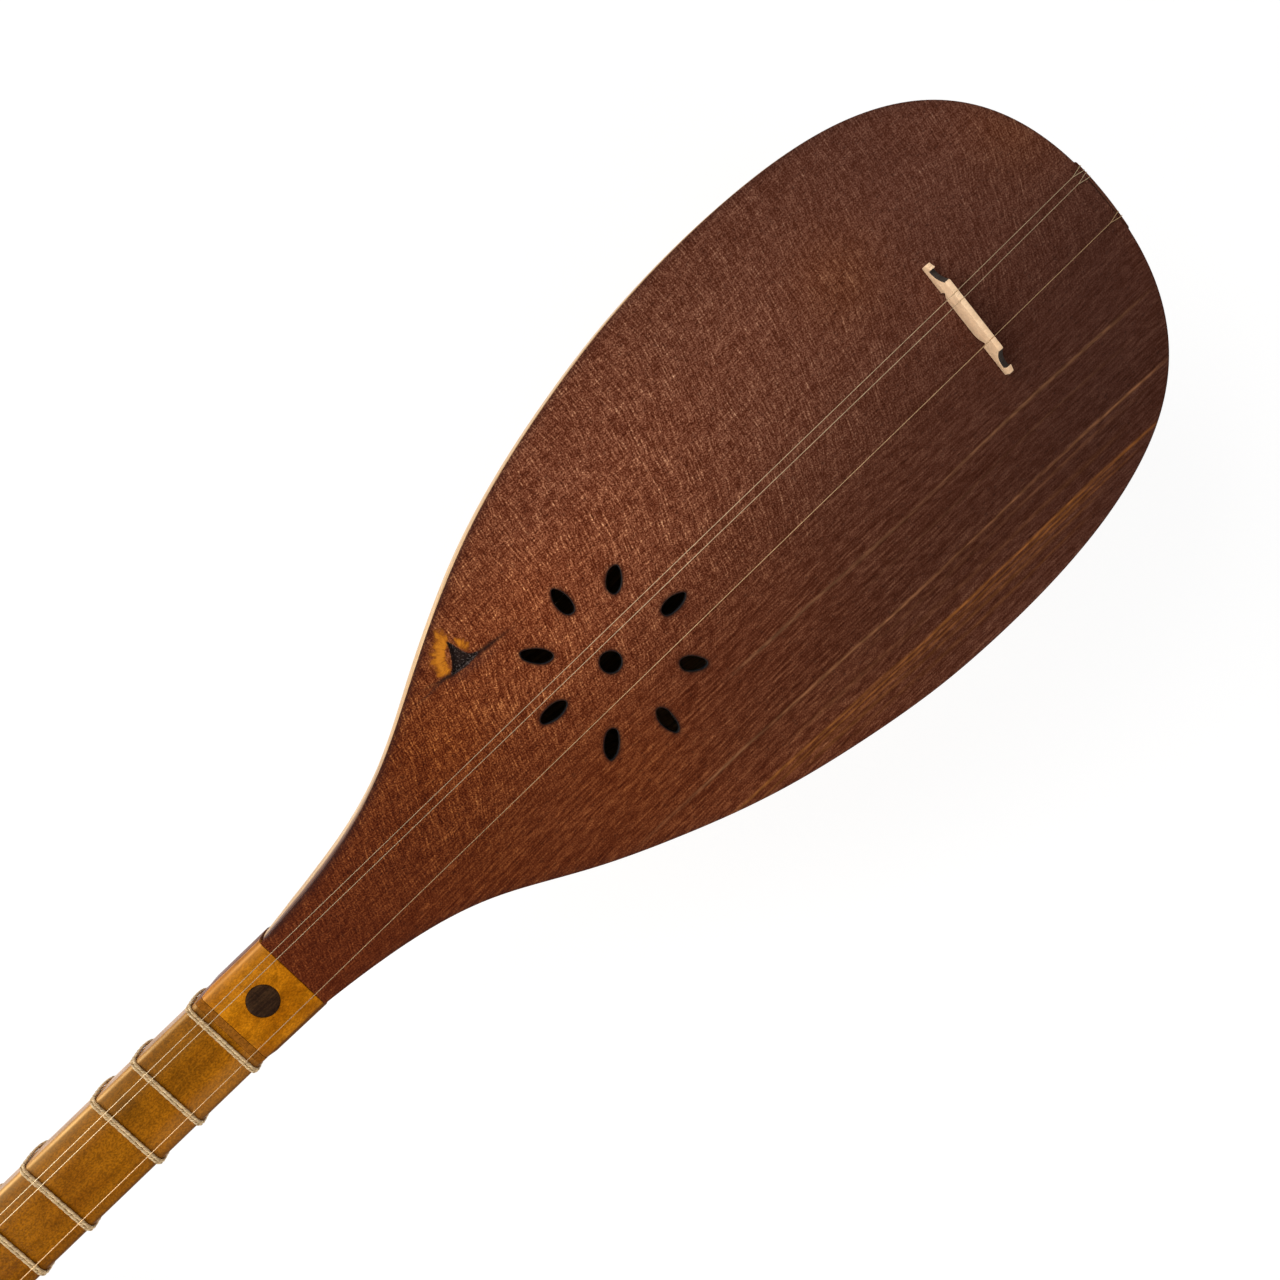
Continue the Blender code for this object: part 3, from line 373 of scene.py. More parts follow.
def rib_material():
    """Straight-grained mulberry in UV metres, u across, v along the grain, darker near the neck on the
    band just under the board's edge.
    """
    m = Mat("rib_mulberry", Coat_Weight=0.08, Coat_Roughness=0.15, Specular_IOR_Level=0.15)
    spot, u, v, _ = m.coords("UV")
    _, _, y, z = m.coords()
    sway = (m.noise(spot, (40.0, 120.0, 1.0), 1.0) - 0.5) * 8.0
    grain = m.join(u + sway, v)
    rings = m.noise(grain, (2.6, 150.0, 1.0), 4.0, 0.62)
    fine = m.noise(grain, (0.45, 18.0, 1.0), 2.0, 0.6, 5.0)
    cloud = m.noise(spot, (18.0, 70.0, 1.0), 2.0, 0.5, 9.0)
    share = m.span(rings * 0.75 + cloud * 0.35, 0.36, 0.74)
    colour = m.mix(share, (0.74, 0.48, 0.23), (0.50, 0.27, 0.095))
    colour = m.tint(colour, m.span(fine, 0.2, 0.8, 0.88, 1.12))
    pores = m.span(m.noise(grain, (0.22, 3.2, 1.0), 1.0, 0.5, 13.0), 0.61, 0.72)
    colour = m.mix(pores * 0.5, colour, m.tint(colour, 0.5))
    near_neck = m.span(y + (cloud - 0.5) * 30.0, -75.0, -40.0, 0.0, 0.95) * m.span(z, -6.0, -4.2)
    darkening = m.tint((0.11, 0.036, 0.018), m.span(rings, 0.3, 0.7, 1.3, 0.8))
    colour = m.mix(near_neck, colour, darkening)
    return m.done(colour, 0.30 + rings * 0.16, m.bump(fine * 0.4 - pores, 0.03 * MM, 0.5))


def figure_and_painted_edge_light(m, colour, place, patterns, edge_highlight, edge_shade, worn):
    """Figure of the neck and painted light at its edges: uneven top, a painted highlight on the +X edge,
    painted shade at the -X edge, a painted pale sheen on the flanks.
    """
    _, x, y, z = place
    share, cloud, speck = patterns
    bright, bright_at = edge_highlight
    dim, dim_at, darkening = edge_shade
    side = abs(x)
    shifted = y + (cloud - 0.5) * 16.0
    upper = m.span(y, 24.0, 30.0) * m.span(y, 74.0, 62.0)
    figure = m.hill(shifted, 63.0, 5.5) * m.hill(x, 5.0, 6.0)
    figure = figure + m.hill(shifted, 47.0, 7.0) * m.hill(x, 0.0, 4.5) * 0.6
    figure = figure + m.span(x, 2.0, 6.0) * upper * 0.42
    colour = m.mix(figure * 0.85, colour, m.tint(colour, 0.56))
    # painted sheen: the upper neck is lighter towards -X beside the dark figure
    colour = m.mix(m.span(x, -3.0, -7.0) * upper, colour, m.tint(colour, 1.3))
    # painted sheen: a pale haze near both edges of the top, in the highlight colour
    painted_haze = m.span(x, 3.0, 9.0) * m.span(y, 30.0, 80.0, 0.07, 0.15)
    painted_haze = painted_haze + m.span(x, -5.0, -9.0) * (m.span(y, 20.0, 28.0) * m.span(y, 80.0, 55.0, 0.0, 0.14))
    colour = m.mix(painted_haze, colour, m.tint(bright, 0.7))
    # painted highlight: a broad sheen rising to the +X edge, stronger towards the head and by the plate
    edge_sheen = m.span(y, 40.0, 100.0, 0.10, 0.42) + m.span(y, 27.0, 22.0, 0.0, 0.25)
    colour = m.mix(m.span(x, bright_at - 2.8, bright_at) * edge_sheen, colour, m.tint(bright, 0.7))

    # painted sheen: the flanks are paler than the top, more so on the +X side; the underside keeps the
    # colour of the top
    pale = m.tint(worn, m.span(share, *FIGURE, 1.25, 0.62) * m.span(speck, 0.25, 0.75, 0.88, 1.12))
    reach = m.span(z, -19.0, -10.0) * m.math("MAXIMUM", m.span(x, 0.0, 1.0), m.span(z, -0.8, -3.0))
    flank = m.span(side, bright_at + 0.2, bright_at + 0.6) * reach
    colour = m.mix(flank * 0.5, colour, m.tint(pale, 0.72))
    low = m.span(z, -4.0, -9.0, 0.0, 0.4) * m.span(side, 9.0, 12.0)
    colour = m.mix(low * reach, colour, m.tint(pale, m.span(x, -1.0, 1.0, 0.62, 0.86)))

    # painted highlight along the rounded +X edge, stronger towards the head
    crest_highlight = m.hill(x, bright_at + 0.3, 0.42) * m.span(cloud, 0.35, 0.6, 0.6, 0.95)
    crest_highlight = crest_highlight * m.span(z, -1.5, -0.8)
    colour = m.mix(crest_highlight, colour, m.tint(bright, m.span(y, 30.0, 85.0, 0.95, 1.5)))
    # painted shade: the top darkens towards the -X edge, with a dark line at that edge
    top = m.span(z, -3.0, -0.8)
    colour = m.mix(m.span(x, dim_at + 3.6, dim_at, 0.0, 0.3) * top, colour, dim)
    return m.mix(m.span(x, dim_at + 0.5, dim_at - 0.2, 0.0, darkening) * top, colour, m.tint(dim, 0.7))


def turned_material(name, light, dark, ring=2.2, length=60.0, rough=0.3, mottle=0.14, blotch=0.06,
                    flank=None, edges=None, **settings):
    """Varnished wood in object coordinates, grain along Y.

    A flank colour takes over below the top. Edges are (colour, x) of the painted highlight on the +X edge,
    (colour, x, strength) of the painted shade at the -X edge, and the colour of the painted pale sheen on
    the flanks.
    """
    m = Mat(name, **settings)
    place = m.coords()
    spot, x, y, z = place
    sway = (m.noise(spot, (30.0, 70.0, 30.0), 1.0) - 0.5) * 6.0
    grain = m.join(x + sway, y, z + sway)
    rings = m.noise(grain, (ring, length, ring), 3.0, 0.6)
    cloud = m.noise(spot, (14.0, 22.0, 14.0), 2.0, 0.55, 5.0)
    speck = m.noise(spot, (0.5, 0.75, 0.5), 1.0, 0.6, 9.0)
    blot = m.noise(spot, (2.6, 3.6, 2.6), 2.0, 0.6, 15.0)
    share = rings * 0.55 + cloud * 0.5
    colour = m.mix(m.span(share, *FIGURE), light, dark)
    colour = m.tint(colour, m.span(speck, 0.25, 0.75, 1.0 - mottle, 1.0 + mottle))
    colour = m.tint(colour, m.span(blot, 0.3, 0.7, 1.0 - blotch, 1.0 + blotch))
    pores = m.span(m.noise(grain, (0.28, 4.0, 0.28), 1.0, 0.5, 13.0), 0.62, 0.72)
    colour = m.mix(pores * 0.4, colour, m.tint(colour, 0.55))
    if flank:
        below = m.tint(flank, m.span(share, *FIGURE, 1.2, 0.8))
        colour = m.mix(m.span(z, -1.0, -2.6), colour, below)
    if edges:
        colour = figure_and_painted_edge_light(m, colour, place, (share, cloud, speck), *edges)
    shine = m.span(cloud, 0.3, 0.7, rough - 0.05, rough + 0.08)
    return m.done(colour, shine, m.bump(speck * 0.3 - pores, 0.02 * MM, 0.5))


def gut_material():
    """Twisted gut: fibres follow the lay. UV: u around, v along, in metres."""
    m = Mat("gut_tied", Specular_IOR_Level=0.3, Subsurface_Weight=0.08,
            Subsurface_Radius=(0.6 * MM, 0.4 * MM, 0.2 * MM))
    spot, u, v, _ = m.coords("UV")
    fibre = m.noise(m.join(u + v * 1.15, v), (0.20, 1.6, 1.0), 1.0, 0.6)
    blotch = m.noise(spot, (4.0, 5.0, 1.0), 2.0, 0.5, 3.0)
    colour = m.mix(m.span(fibre, 0.36, 0.62), (0.27, 0.155, 0.055), (0.84, 0.62, 0.35))
    colour = m.tint(colour, m.span(blotch, 0.3, 0.7, 0.85, 1.1))
    return m.done(colour, m.span(fibre, 0.3, 0.7, 0.62, 0.46), m.bump(fibre, 0.06 * MM))


def wire_material(name, colour, rough):
    """Drawn wire with faint rub marks along it; a painted reflection along its length makes it dimmest
    between the bridge and the neck.
    """
    m = Mat(name, Metallic=1.0)
    marks = m.noise(m.coords("UV")[0], (0.15, 9.0, 1.0), 2.0, 0.6)
    shade = m.tint(colour, m.span(marks, 0.3, 0.7, 0.86, 1.06))
    y = m.coords()[2]
    # painted reflection: the brightness changes along the string, dimmest from y -70 to 0 mm and brightest
    # over the neck
    shade = m.tint(shade, m.span(y, -180.0, -70.0, 1.0, 0.48) + m.span(y, 0.0, 90.0, 0.0, 0.95))
    return m.done(shade, m.span(marks, 0.3, 0.7, rough, rough + 0.12), m.bump(marks, 0.004 * MM))


def bone_material():
    m = Mat("nut_bone_worn", Subsurface_Weight=0.1,
            Subsurface_Radius=(1.0 * MM, 0.7 * MM, 0.4 * MM))
    streak = m.noise(m.coords()[0], (4.0, 0.5, 0.5), 3.0, 0.6)
    colour = m.mix(m.span(streak, 0.3, 0.72), (0.78, 0.70, 0.55), (0.56, 0.44, 0.28))
    return m.done(colour, m.span(streak, 0.3, 0.7, 0.28, 0.42), m.bump(streak, 0.02 * MM))


NECK_WOOD = ((0.31, 0.106, 0.003), (0.195, 0.060, 0.001))
# Edge colours: painted highlight on the +X edge (colour, x), painted shade at the -X edge (colour, x,
# strength), painted pale sheen of the flanks
NECK_EDGES = (((0.62, 0.36, 0.13), 13.0), ((0.11, 0.042, 0.012), -13.3, 0.3), (0.68, 0.32, 0.095))
PLATE_EDGES = (((0.80, 0.36, 0.09), 12.9), ((0.14, 0.046, 0.012), -13.6, 0.85), (0.50, 0.17, 0.03))

BOARD = board_material()
SCORCHED = burnt_material()
RIB = rib_material()
NECK = turned_material("neck_varnished", *NECK_WOOD, mottle=0.32, blotch=0.09, edges=NECK_EDGES,
                       Coat_Weight=0.03, Coat_Roughness=0.1, Specular_IOR_Level=0.03)
NECK_SIDE = turned_material("neck_flank", *NECK_WOOD, mottle=0.32, blotch=0.09, edges=NECK_EDGES,
                            Coat_Weight=0.1, Coat_Roughness=0.12, Specular_IOR_Level=0.06)
HEAD = turned_material("head_varnished", (0.30, 0.103, 0.006), (0.19, 0.060, 0.004), mottle=0.2,
                       Coat_Weight=0.15, Coat_Roughness=0.1, Specular_IOR_Level=0.15)
HEEL = turned_material("heel_varnished", (0.27, 0.095, 0.010), (0.20, 0.064, 0.005), mottle=0.3,
                       flank=(0.15, 0.044, 0.016), Coat_Weight=0.0, Specular_IOR_Level=0.02)
PLATE = turned_material("plate_fruitwood", (0.51, 0.178, 0.004), (0.285, 0.084, 0.001), ring=5.0,
                        length=14.0, mottle=0.26, blotch=0.16, edges=PLATE_EDGES,
                        Coat_Weight=0.02, Coat_Roughness=0.12, Specular_IOR_Level=0.02)
DOT = turned_material("dot_walnut_inlay", (0.062, 0.029, 0.011), (0.018, 0.007, 0.003), ring=0.8,
                      mottle=0.3, length=14.0, rough=0.4, Specular_IOR_Level=0.05)
BARE = turned_material("bridge_bare_maple", (0.90, 0.63, 0.40), (0.82, 0.54, 0.32), ring=1.2,
                       mottle=0.06, length=5.0, rough=0.6, Specular_IOR_Level=0.2)
SCOOP = turned_material("bridge_darkened", (0.052, 0.040, 0.034), (0.032, 0.024, 0.020), ring=1.2,
                        mottle=0.2, length=5.0, rough=0.6, Specular_IOR_Level=0.1)
TAIL = turned_material("tailpiece_dark_walnut", (0.092, 0.033, 0.020), (0.066, 0.024, 0.014), rough=0.4,
                       mottle=0.25, Specular_IOR_Level=0.06)
PEG = turned_material("peg_dark_walnut", (0.11, 0.046, 0.02), (0.055, 0.02, 0.009), ring=1.6,
                      length=9.0, rough=0.32, Coat_Weight=0.3, Coat_Roughness=0.15)
BLOCK = turned_material("block_bare", (0.46, 0.31, 0.17), (0.36, 0.23, 0.12), rough=0.65)
GUT = gut_material()
STEEL = wire_material("wire_steel", (0.75, 0.58, 0.36), 0.42)
BRONZE = wire_material("wire_bronze", (0.70, 0.47, 0.25), 0.42)
BONE = bone_material()


# Mesh helpers

def lerp(a, b, share):
    return a + (b - a) * share


def placed(name, data):
    """A new object in the scene."""
    obj = bpy.data.objects.new(name, data)
    bpy.context.scene.collection.objects.link(obj)
    return obj


def piece(name, mesh, body, materials, *nodes, slot):
    """A mesh of the instrument's frame as an object that rides on a body and stands for CAD nodes."""
    mesh.name = name
    mesh.transform(HOME)
    obj = placed(name, mesh)
    for material in materials if isinstance(materials, list) else [materials]:
        mesh.materials.append(material)
    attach(obj, body)
    if nodes:
        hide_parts(*nodes)


def shade(mesh, crease):
    mesh.shade_smooth()
    mesh.set_sharp_from_angle(angle=math.radians(crease))
    return mesh


def loft(rings, crease, uvs=None):
    """One closed body through rings of equal length. uvs gives (u, v) for each ring point."""
    count = len(rings[0])
    verts = [tuple(p) for ring in rings for p in ring]
    faces = []
    for k in range(len(rings) - 1):
        a, b = k * count, (k + 1) * count
        faces += [(a + i, a + (i + 1) % count, b + (i + 1) % count, b + i) for i in range(count)]
    faces.append(tuple(range(count)))
    faces.append(tuple(reversed(range(len(verts) - count, len(verts)))))
    mesh = bpy.data.meshes.new("loft")
    mesh.from_pydata(verts, [], faces)
    if uvs is not None:
        flat = [uv for ring in uvs for uv in ring]
        layer = mesh.uv_layers.new(name="UVMap")
        for loop in mesh.loops:
            layer.data[loop.index].uv = flat[loop.vertex_index]
    bm = bmesh.new()
    bm.from_mesh(mesh)
    bmesh.ops.recalc_face_normals(bm, faces=bm.faces)
    bm.to_mesh(mesh)
    bm.free()
    return shade(mesh, crease)


def turned(profile, sides, move, crease):
    """A body round its own Z axis through (z, half width, half depth) in millimetres, then moved."""
    rings = []
    for z, wide, deep in profile:
        angles = [TURN * i / sides for i in range(sides)]
        rings.append([move @ Vector((wide * MM * math.cos(a), deep * MM * math.sin(a), z * MM))
                      for a in angles])
    return loft(rings, crease)


def frames_along(path):
    """Side and lift at each point, carried along the path without twist."""
    tangents = np.gradient(path, axis=0)
    tangents /= np.linalg.norm(tangents, axis=1)[:, None]
    side = np.cross(tangents[0], (0.0, 0.0, 1.0))
    if np.linalg.norm(side) < 0.1:
        side = np.cross(tangents[0], (1.0, 0.0, 0.0))
    sides = []
    for t in tangents:
        side = side - t * (side @ t)
        side = side / np.linalg.norm(side)
        sides.append(side)
    return np.array(sides), np.cross(tangents, sides)


def arc_length(path):
    steps = np.diff(np.asarray(path, float), axis=0)
    return np.concatenate([[0.0], np.cumsum(np.linalg.norm(steps, axis=1))])


def resample(path, step):
    path = np.asarray(path, float)
    reach = arc_length(path)
    count = max(2, int(round(reach[-1] / step)) + 1)
    at = np.linspace(0.0, reach[-1], count)
    return np.stack([np.interp(at, reach, path[:, k]) for k in range(3)], 1)


def soften(path, rounds):
    for _ in range(rounds):
        path[1:-1] = (path[:-2] + 2 * path[1:-1] + path[2:]) / 4
    return path


def rope(path, radius, sides=8, plies=0, lay=1.0, depth=0.0):
    """A tube along a path. With plies, its section is lobed and turns once per lay."""
    path = np.asarray(path, float)
    side, lift = frames_along(path)
    rings, uvs = [], []
    for k, (centre, reach) in enumerate(zip(path, arc_length(path))):
        ring, marks = [], []
        for i in range(sides):
            turn = TURN * i / sides
            r = radius
            if plies:
                r *= 1 - depth * (0.5 - 0.5 * math.cos(plies * turn - TURN * reach / lay))
            ring.append(centre + (side[k] * math.cos(turn) + lift[k] * math.sin(turn)) * r)
            marks.append((radius * turn, reach))
        rings.append(ring)
        uvs.append(marks)
    return loft(rings, 60.0, uvs)


def evaluated(obj):
    """The mesh of an object after its modifiers."""
    graph = bpy.context.evaluated_depsgraph_get()
    return bpy.data.meshes.new_from_object(obj.evaluated_get(graph))


def modified(mesh, *steps):
    """The mesh after modifiers: each step sets one up on a short-lived object."""
    obj = placed("modified", mesh)
    for step in steps:
        step(obj)
    made = evaluated(obj)
    bpy.data.objects.remove(obj)
    return made


def cut(mesh):
    """A modifier step: takes another mesh away."""
    def step(obj):
        tool = placed("tool", mesh)
        mod = obj.modifiers.new("cut", "BOOLEAN")
        mod.operation = "DIFFERENCE"
        mod.object = tool
        mod.solver = "EXACT"
        made = evaluated(obj)
        obj.modifiers.clear()
        obj.data = made
        bpy.data.objects.remove(tool)
    return step


def bevel(width, segments, angle=30.0):
    """A modifier step: rounds the edges sharper than an angle."""
    def step(obj):
        mod = obj.modifiers.new("bevel", "BEVEL")
        mod.width = width
        mod.segments = segments
        mod.limit_method = "ANGLE"
        mod.angle_limit = math.radians(angle)
        mod.use_clamp_overlap = True
    return step


def tube_mesh(radius, low, high, sides, move):
    """A plain cylinder for cuts, on its own Z axis from low to high, then moved."""
    bm = bmesh.new()
    bmesh.ops.create_cone(bm, cap_ends=True, segments=sides, radius1=radius, radius2=radius,
                          depth=high - low)
    lift = Matrix.Translation((0, 0, (low + high) / 2))
    bmesh.ops.transform(bm, matrix=move @ lift, verts=bm.verts)
    mesh = bpy.data.meshes.new("tube")
    bm.to_mesh(mesh)
    bm.free()
    return mesh


# Shape of the sound box

TAIL_HALF = 13.6 * MM
RIM = 3.1 * MM              # from the board's top down to the ribs
RIB_COUNT = 7
RIB_THICKNESS = 3.0 * MM

# Plan and keel in millimetres, as reach from the joint and half width or depth
JOINT_HALF = 13.8
SHOULDER = (118.6, 55.7)
WIDEST = (246.0, 80.0)
BODY_LENGTH = 351.8         # of the CAD outline
TAIL_END = 352.4            # of the hand-made one
SHOULDER_SLOPE = 0.41
HEEL_DEPTH = 27.0
DEEPEST = (225.0, 117.5)
TAIL_DEPTH = 20.0
CURVE_STEPS = 240
BOXY_UNTIL = 60.0 * MM      # sections of the bowl are boxy up to here
ROUND_FROM = 230.0 * MM     # and round from here on


def bezier(p0, p1, p2, p3):
    t = np.linspace(0.0, 1.0, CURVE_STEPS + 1)[:, None]
    ends = np.array(p0) * (1 - t) ** 3 + np.array(p3) * t ** 3
    return ends + 3 * np.array(p1) * t * (1 - t) ** 2 + 3 * np.array(p2) * t ** 2 * (1 - t)


def plan_curve():
    """(reach, half width) in metres: joint to shoulder to widest to tail.

    Each curve's handles are shares of its own stretch.
    """
    leave, enter = 0.587 * SHOULDER[0], 0.4545 * SHOULDER[0]
    onward, rest = WIDEST[0] - SHOULDER[0], BODY_LENGTH - WIDEST[0]
    flare = bezier((0.0, JOINT_HALF), (leave, JOINT_HALF + 0.09 * leave),
                   (SHOULDER[0] - enter, SHOULDER[1] - SHOULDER_SLOPE * enter), SHOULDER)
    upper = bezier(SHOULDER, (SHOULDER[0] + 0.138 * onward, SHOULDER[1] + SHOULDER_SLOPE * 0.138 * onward),
                   (WIDEST[0] - 0.484 * onward, WIDEST[1]), WIDEST)
    lower = bezier(WIDEST, (WIDEST[0] + 0.613 * rest, WIDEST[1]),
                   (TAIL_END, 0.7616 * WIDEST[1]), (TAIL_END, 0.0))
    return np.vstack([flare, upper[1:], lower[1:]]) * MM


def back_curve():
    """(reach, depth) in metres along the keel."""
    reach, deep = DEEPEST
    front = bezier((0.0, HEEL_DEPTH), (0.31 * reach, HEEL_DEPTH + 0.31 * reach * 0.045),
                   (reach * 0.49, deep), DEEPEST)
    rear = bezier(DEEPEST, (reach + 0.6 * (BODY_LENGTH - reach), deep),
                  (TAIL_END, lerp(TAIL_DEPTH, deep, 0.45)), (TAIL_END, TAIL_DEPTH))
    return np.vstack([front, rear[1:]]) * MM


# How far the hand-made edge strays from the even curve, in millimetres: reach, +X side, -X side
STRAY = np.array([(0, -0.3, 0.4), (20, -0.8, 0.5), (40, -1.1, 0.5), (60, -1.2, 0.5), (75, -2.0, 0.8),
                  (90, -2.5, 0.8), (105, -2.1, 0.4), (120, -1.6, 0.2), (135, -1.0, 0.5),
                  (150, -0.85, 0.7), (180, -0.95, 0.5), (210, -0.65, 0.75), (240, -0.6, 0.3),
                  (270, -0.5, 0.0), (300, 0.0, -0.1), (330, 0.2, 0.2), (353, 0.0, 0.0)])

# How far the rib on the +X side swells out past the edge of the board, in millimetres: reach, swell
SWELL = np.array([(0, 0.4), (12, 1.2), (25, 1.5), (40, 1.35), (60, 1.15), (75, 1.35), (90, 1.65),
                  (105, 1.45), (120, 1.35), (135, 1.05), (150, 0.8), (180, 0.55), (220, 0.25),
                  (260, 0.0)])


def even_stray():
    """The strays at each millimetre, smoothed."""
    at = np.arange(-40.0, 400.0)
    bell = np.exp(-(np.arange(-24.0, 25.0) / 8.0) ** 2)
    bell /= bell.sum()
    return at, [np.convolve(np.interp(at, STRAY[:, 0], STRAY[:, k]), bell, "same") for k in (1, 2)]


PLAN = plan_curve()
BACK = back_curve()
STRAY_AT, STRAYS = even_stray()
LAST = PLAN[-CURVE_STEPS:][::-1]
TAIL_REACH = float(np.interp(TAIL_HALF, LAST[:, 1], LAST[:, 0]))


def half_width(reach, side=1):
    even = float(np.interp(reach, PLAN[:, 0], PLAN[:, 1]))
    return even + float(np.interp(reach / MM, STRAY_AT, STRAYS[0 if side > 0 else 1])) * MM


def depth_at(reach):
    return float(np.interp(reach, BACK[:, 0], BACK[:, 1]))


def oval(half, deep, boxy):
    """Half axes, drop of the widest line and power of a section, from round to boxy."""
    drop = deep * lerp(0.127, 0.20, boxy)
    rise = deep - drop
    power = lerp(2.0, 2.9, boxy)
    return half / (1.0 - (drop / rise) ** power) ** (1 / power), rise, drop, 2.0 / power


def raised(value, power):
    return math.copysign(abs(value) ** power, value)


def bowl_oval(reach, side):
    """Section of the bowl, boxy at the heel and round at its widest."""
    share = min(max((ROUND_FROM - reach) / (ROUND_FROM - BOXY_UNTIL), 0.0), 1.0)
    return oval(half_width(reach, side), depth_at(reach), share * share * (3 - 2 * share))


def bowl_point(reach, angle):
    wide, rise, drop, power = bowl_oval(reach, math.cos(angle))
    z = -drop - rise * raised(math.sin(angle), power)
    if math.cos(angle) > 0:
        swell = float(np.interp(reach / MM, SWELL[:, 0], SWELL[:, 1])) * MM
        wide += swell * (1 - math.exp(-max(0.0, -z - RIM) / (3.0 * MM)))
    return Vector((wide * raised(math.cos(angle), power), -reach, z))


def rim_angle(reach, below):
    _, rise, drop, power = bowl_oval(reach, 1)
    return math.asin(raised((below - drop) / rise, 1 / power))


def inset_point(reach, angle, inset):
    """A point inside the bowl's surface, square to it."""
    step, turn = 0.4 * MM, 0.002
    mid = min(max(reach, step), TAIL_REACH - step)
    along = bowl_point(mid + step, angle) - bowl_point(mid - step, angle)
    across = bowl_point(mid, angle + turn) - bowl_point(mid, angle - turn)
    normal = along.cross(across).normalized()
    point = bowl_point(reach, angle)
    drop = bowl_oval(reach, 1)[2]
    if normal.dot(Vector((point.x, 0.0, point.z + drop))) < 0:
        normal.negate()
    return point - normal * inset


# Ribs, each with softened arrises along its glue lines

RIB_FACES = 12
ARRIS = 0.30 * MM
RIB_GLUE = 0.05 * MM
plan_points = np.concatenate([PLAN[0:2 * CURVE_STEPS:8, 0], PLAN[2 * CURVE_STEPS::6, 0]])
RIB_STATIONS = [GAP] + [float(r) for r in plan_points if GAP < r < TAIL_REACH - GAP] + [TAIL_REACH]


def rib_ring(reach, index):
    start = rim_angle(reach, RIM)
    sweep = math.pi - 2 * start

    def speed(angle):
        return (bowl_point(reach, angle + 0.004) - bowl_point(reach, angle - 0.004)).length / 0.008

    low = start + sweep * index / RIB_COUNT
    high = start + sweep * (index + 1) / RIB_COUNT
    low += RIB_GLUE / speed(low)
    high -= RIB_GLUE / speed(high)
    soft_low, soft_high = low + ARRIS / speed(low), high - ARRIS / speed(high)
    angles = [lerp(soft_low, soft_high, i / RIB_FACES) for i in range(RIB_FACES + 1)]
    outer = [inset_point(reach, low, ARRIS * 0.8)] + [bowl_point(reach, a) for a in angles]
    outer.append(inset_point(reach, high, ARRIS * 0.8))
    inner = [inset_point(reach, a, RIB_THICKNESS) for a in (low, *angles[::3], high)]
    if index == 0:
        outer[0] = bowl_point(reach, low)
        inner[0].z = outer[0].z
    if index == RIB_COUNT - 1:
        outer[-1] = bowl_point(reach, high)
        inner[-1].z = outer[-1].z
    return outer + inner[::-1]


def rib_mesh(index):
    """A rib with UVs in metres, shifted so that no two ribs show the same grain."""
    rings = [rib_ring(r, index) for r in RIB_STATIONS]
    travel = arc_length([ring[RIB_FACES // 2] for ring in rings])
    uvs = []
    for ring, reach in zip(rings, travel):
        across = arc_length(ring)
        middle = across[RIB_FACES // 2 + 1]
        uvs.append([(a - middle + 0.31 * index, reach + 0.17 * index) for a in across])
    return loft(rings, 40.0, uvs)


for k in range(RIB_COUNT):
    piece(f"rib_{k + 1}", rib_mesh(k), "body", RIB, f"bowl_rib_{k + 1}", slot="mulberry_rib")


# Soundboard: softened edge, rings that carry the dark rim, scorched holes

BOARD_THICKNESS = 2.8 * MM
BOARD_EDGE = 0.45 * MM
BOARD_CHAMFER = 0.3 * MM
RIM_RINGS = (0.9, 1.5, 2.4, 3.8)    # millimetres from the edge
HOLE_SIDES = 48
EYE = (1.1, -138.2, 3.5)            # the round hole: x, y, radius
SEED_HALF = 2.3
SEED_CUTS = [  # each seed-shaped hole: x, y, aim from +Y towards +X in degrees, half length
    (19.1, -156.7, 138.6, 4.45), (0.7, -165.0, -178.7, 4.75), (-17.4, -156.6, -135.8, 4.4),
    (-24.8, -138.4, -87.6, 4.9), (-17.9, -120.5, -42.0, 5.0), (2.2, -114.4, 3.3, 5.05),
    (18.6, -122.9, 48.4, 5.1), (25.2, -140.3, 92.9, 4.8)]
HOLE_WALL = [  # growth of the outline, z, scorching
    (2.2, 0.0, 0.0), (1.2, 0.0, 0.16), (0.6, 0.0, 0.5), (0.28, 0.0, 1.0), (0.12, -0.06, 1.0),
    (0.02, -0.2, 1.0), (-0.02, -0.5, 1.0), (-0.08, -2.6, 1.0), (0.0, -2.8, 1.0)]
PIT_CORNERS = [
    (40.7, -106.2), (38.6, -106.9), (35.6, -107.6), (33.2, -108.9), (32.2, -110.6), (31.6, -108.6),
    (31.5, -105.5), (31.9, -102.6), (32.5, -100.4), (33.3, -101.2), (34.6, -102.4), (36.9, -104.2),
    (39.2, -105.4)]
PIT_WALL = [(-0.35, 0.0, 0.0), (0.0, -0.02, 0.9), (0.25, -0.5, 1.0), (0.6, -0.95, 1.0)]  # inset, z, dark


def inward(outline, distance):
    """A closed outline moved to its inside, corners mitred. One distance, or one for each point."""
    pts = np.asarray(outline, float)
    ahead = np.roll(pts, -1, axis=0) - pts
    ahead /= np.linalg.norm(ahead, axis=1)[:, None]
    behind = np.roll(ahead, 1, axis=0)
    normal_a = np.stack([-ahead[:, 1], ahead[:, 0]], 1)
    normal_b = np.stack([-behind[:, 1], behind[:, 0]], 1)
    normal = normal_a + normal_b
    normal /= (normal * normal_a).sum(1)[:, None]
    area = (pts[:, 0] * np.roll(pts[:, 1], -1) - np.roll(pts[:, 0], -1) * pts[:, 1]).sum()
    return pts + normal * np.reshape(distance, (-1, 1)) * (1 if area > 0 else -1)


def board_outline():
    reaches = [r for r in PLAN[::4, 0] if r < TAIL_REACH - GAP] + [TAIL_REACH]
    right, left = ([(side * half_width(r, side), -r) for r in reaches] for side in (1, -1))
    tail = [(lerp(right[-1][0], left[-1][0], i / 6), -TAIL_REACH) for i in range(1, 6)]
    joint = [(lerp(left[0][0], right[0][0], i / 6), 0.0) for i in range(1, 6)]
    return np.array(right + tail + left[::-1] + joint)


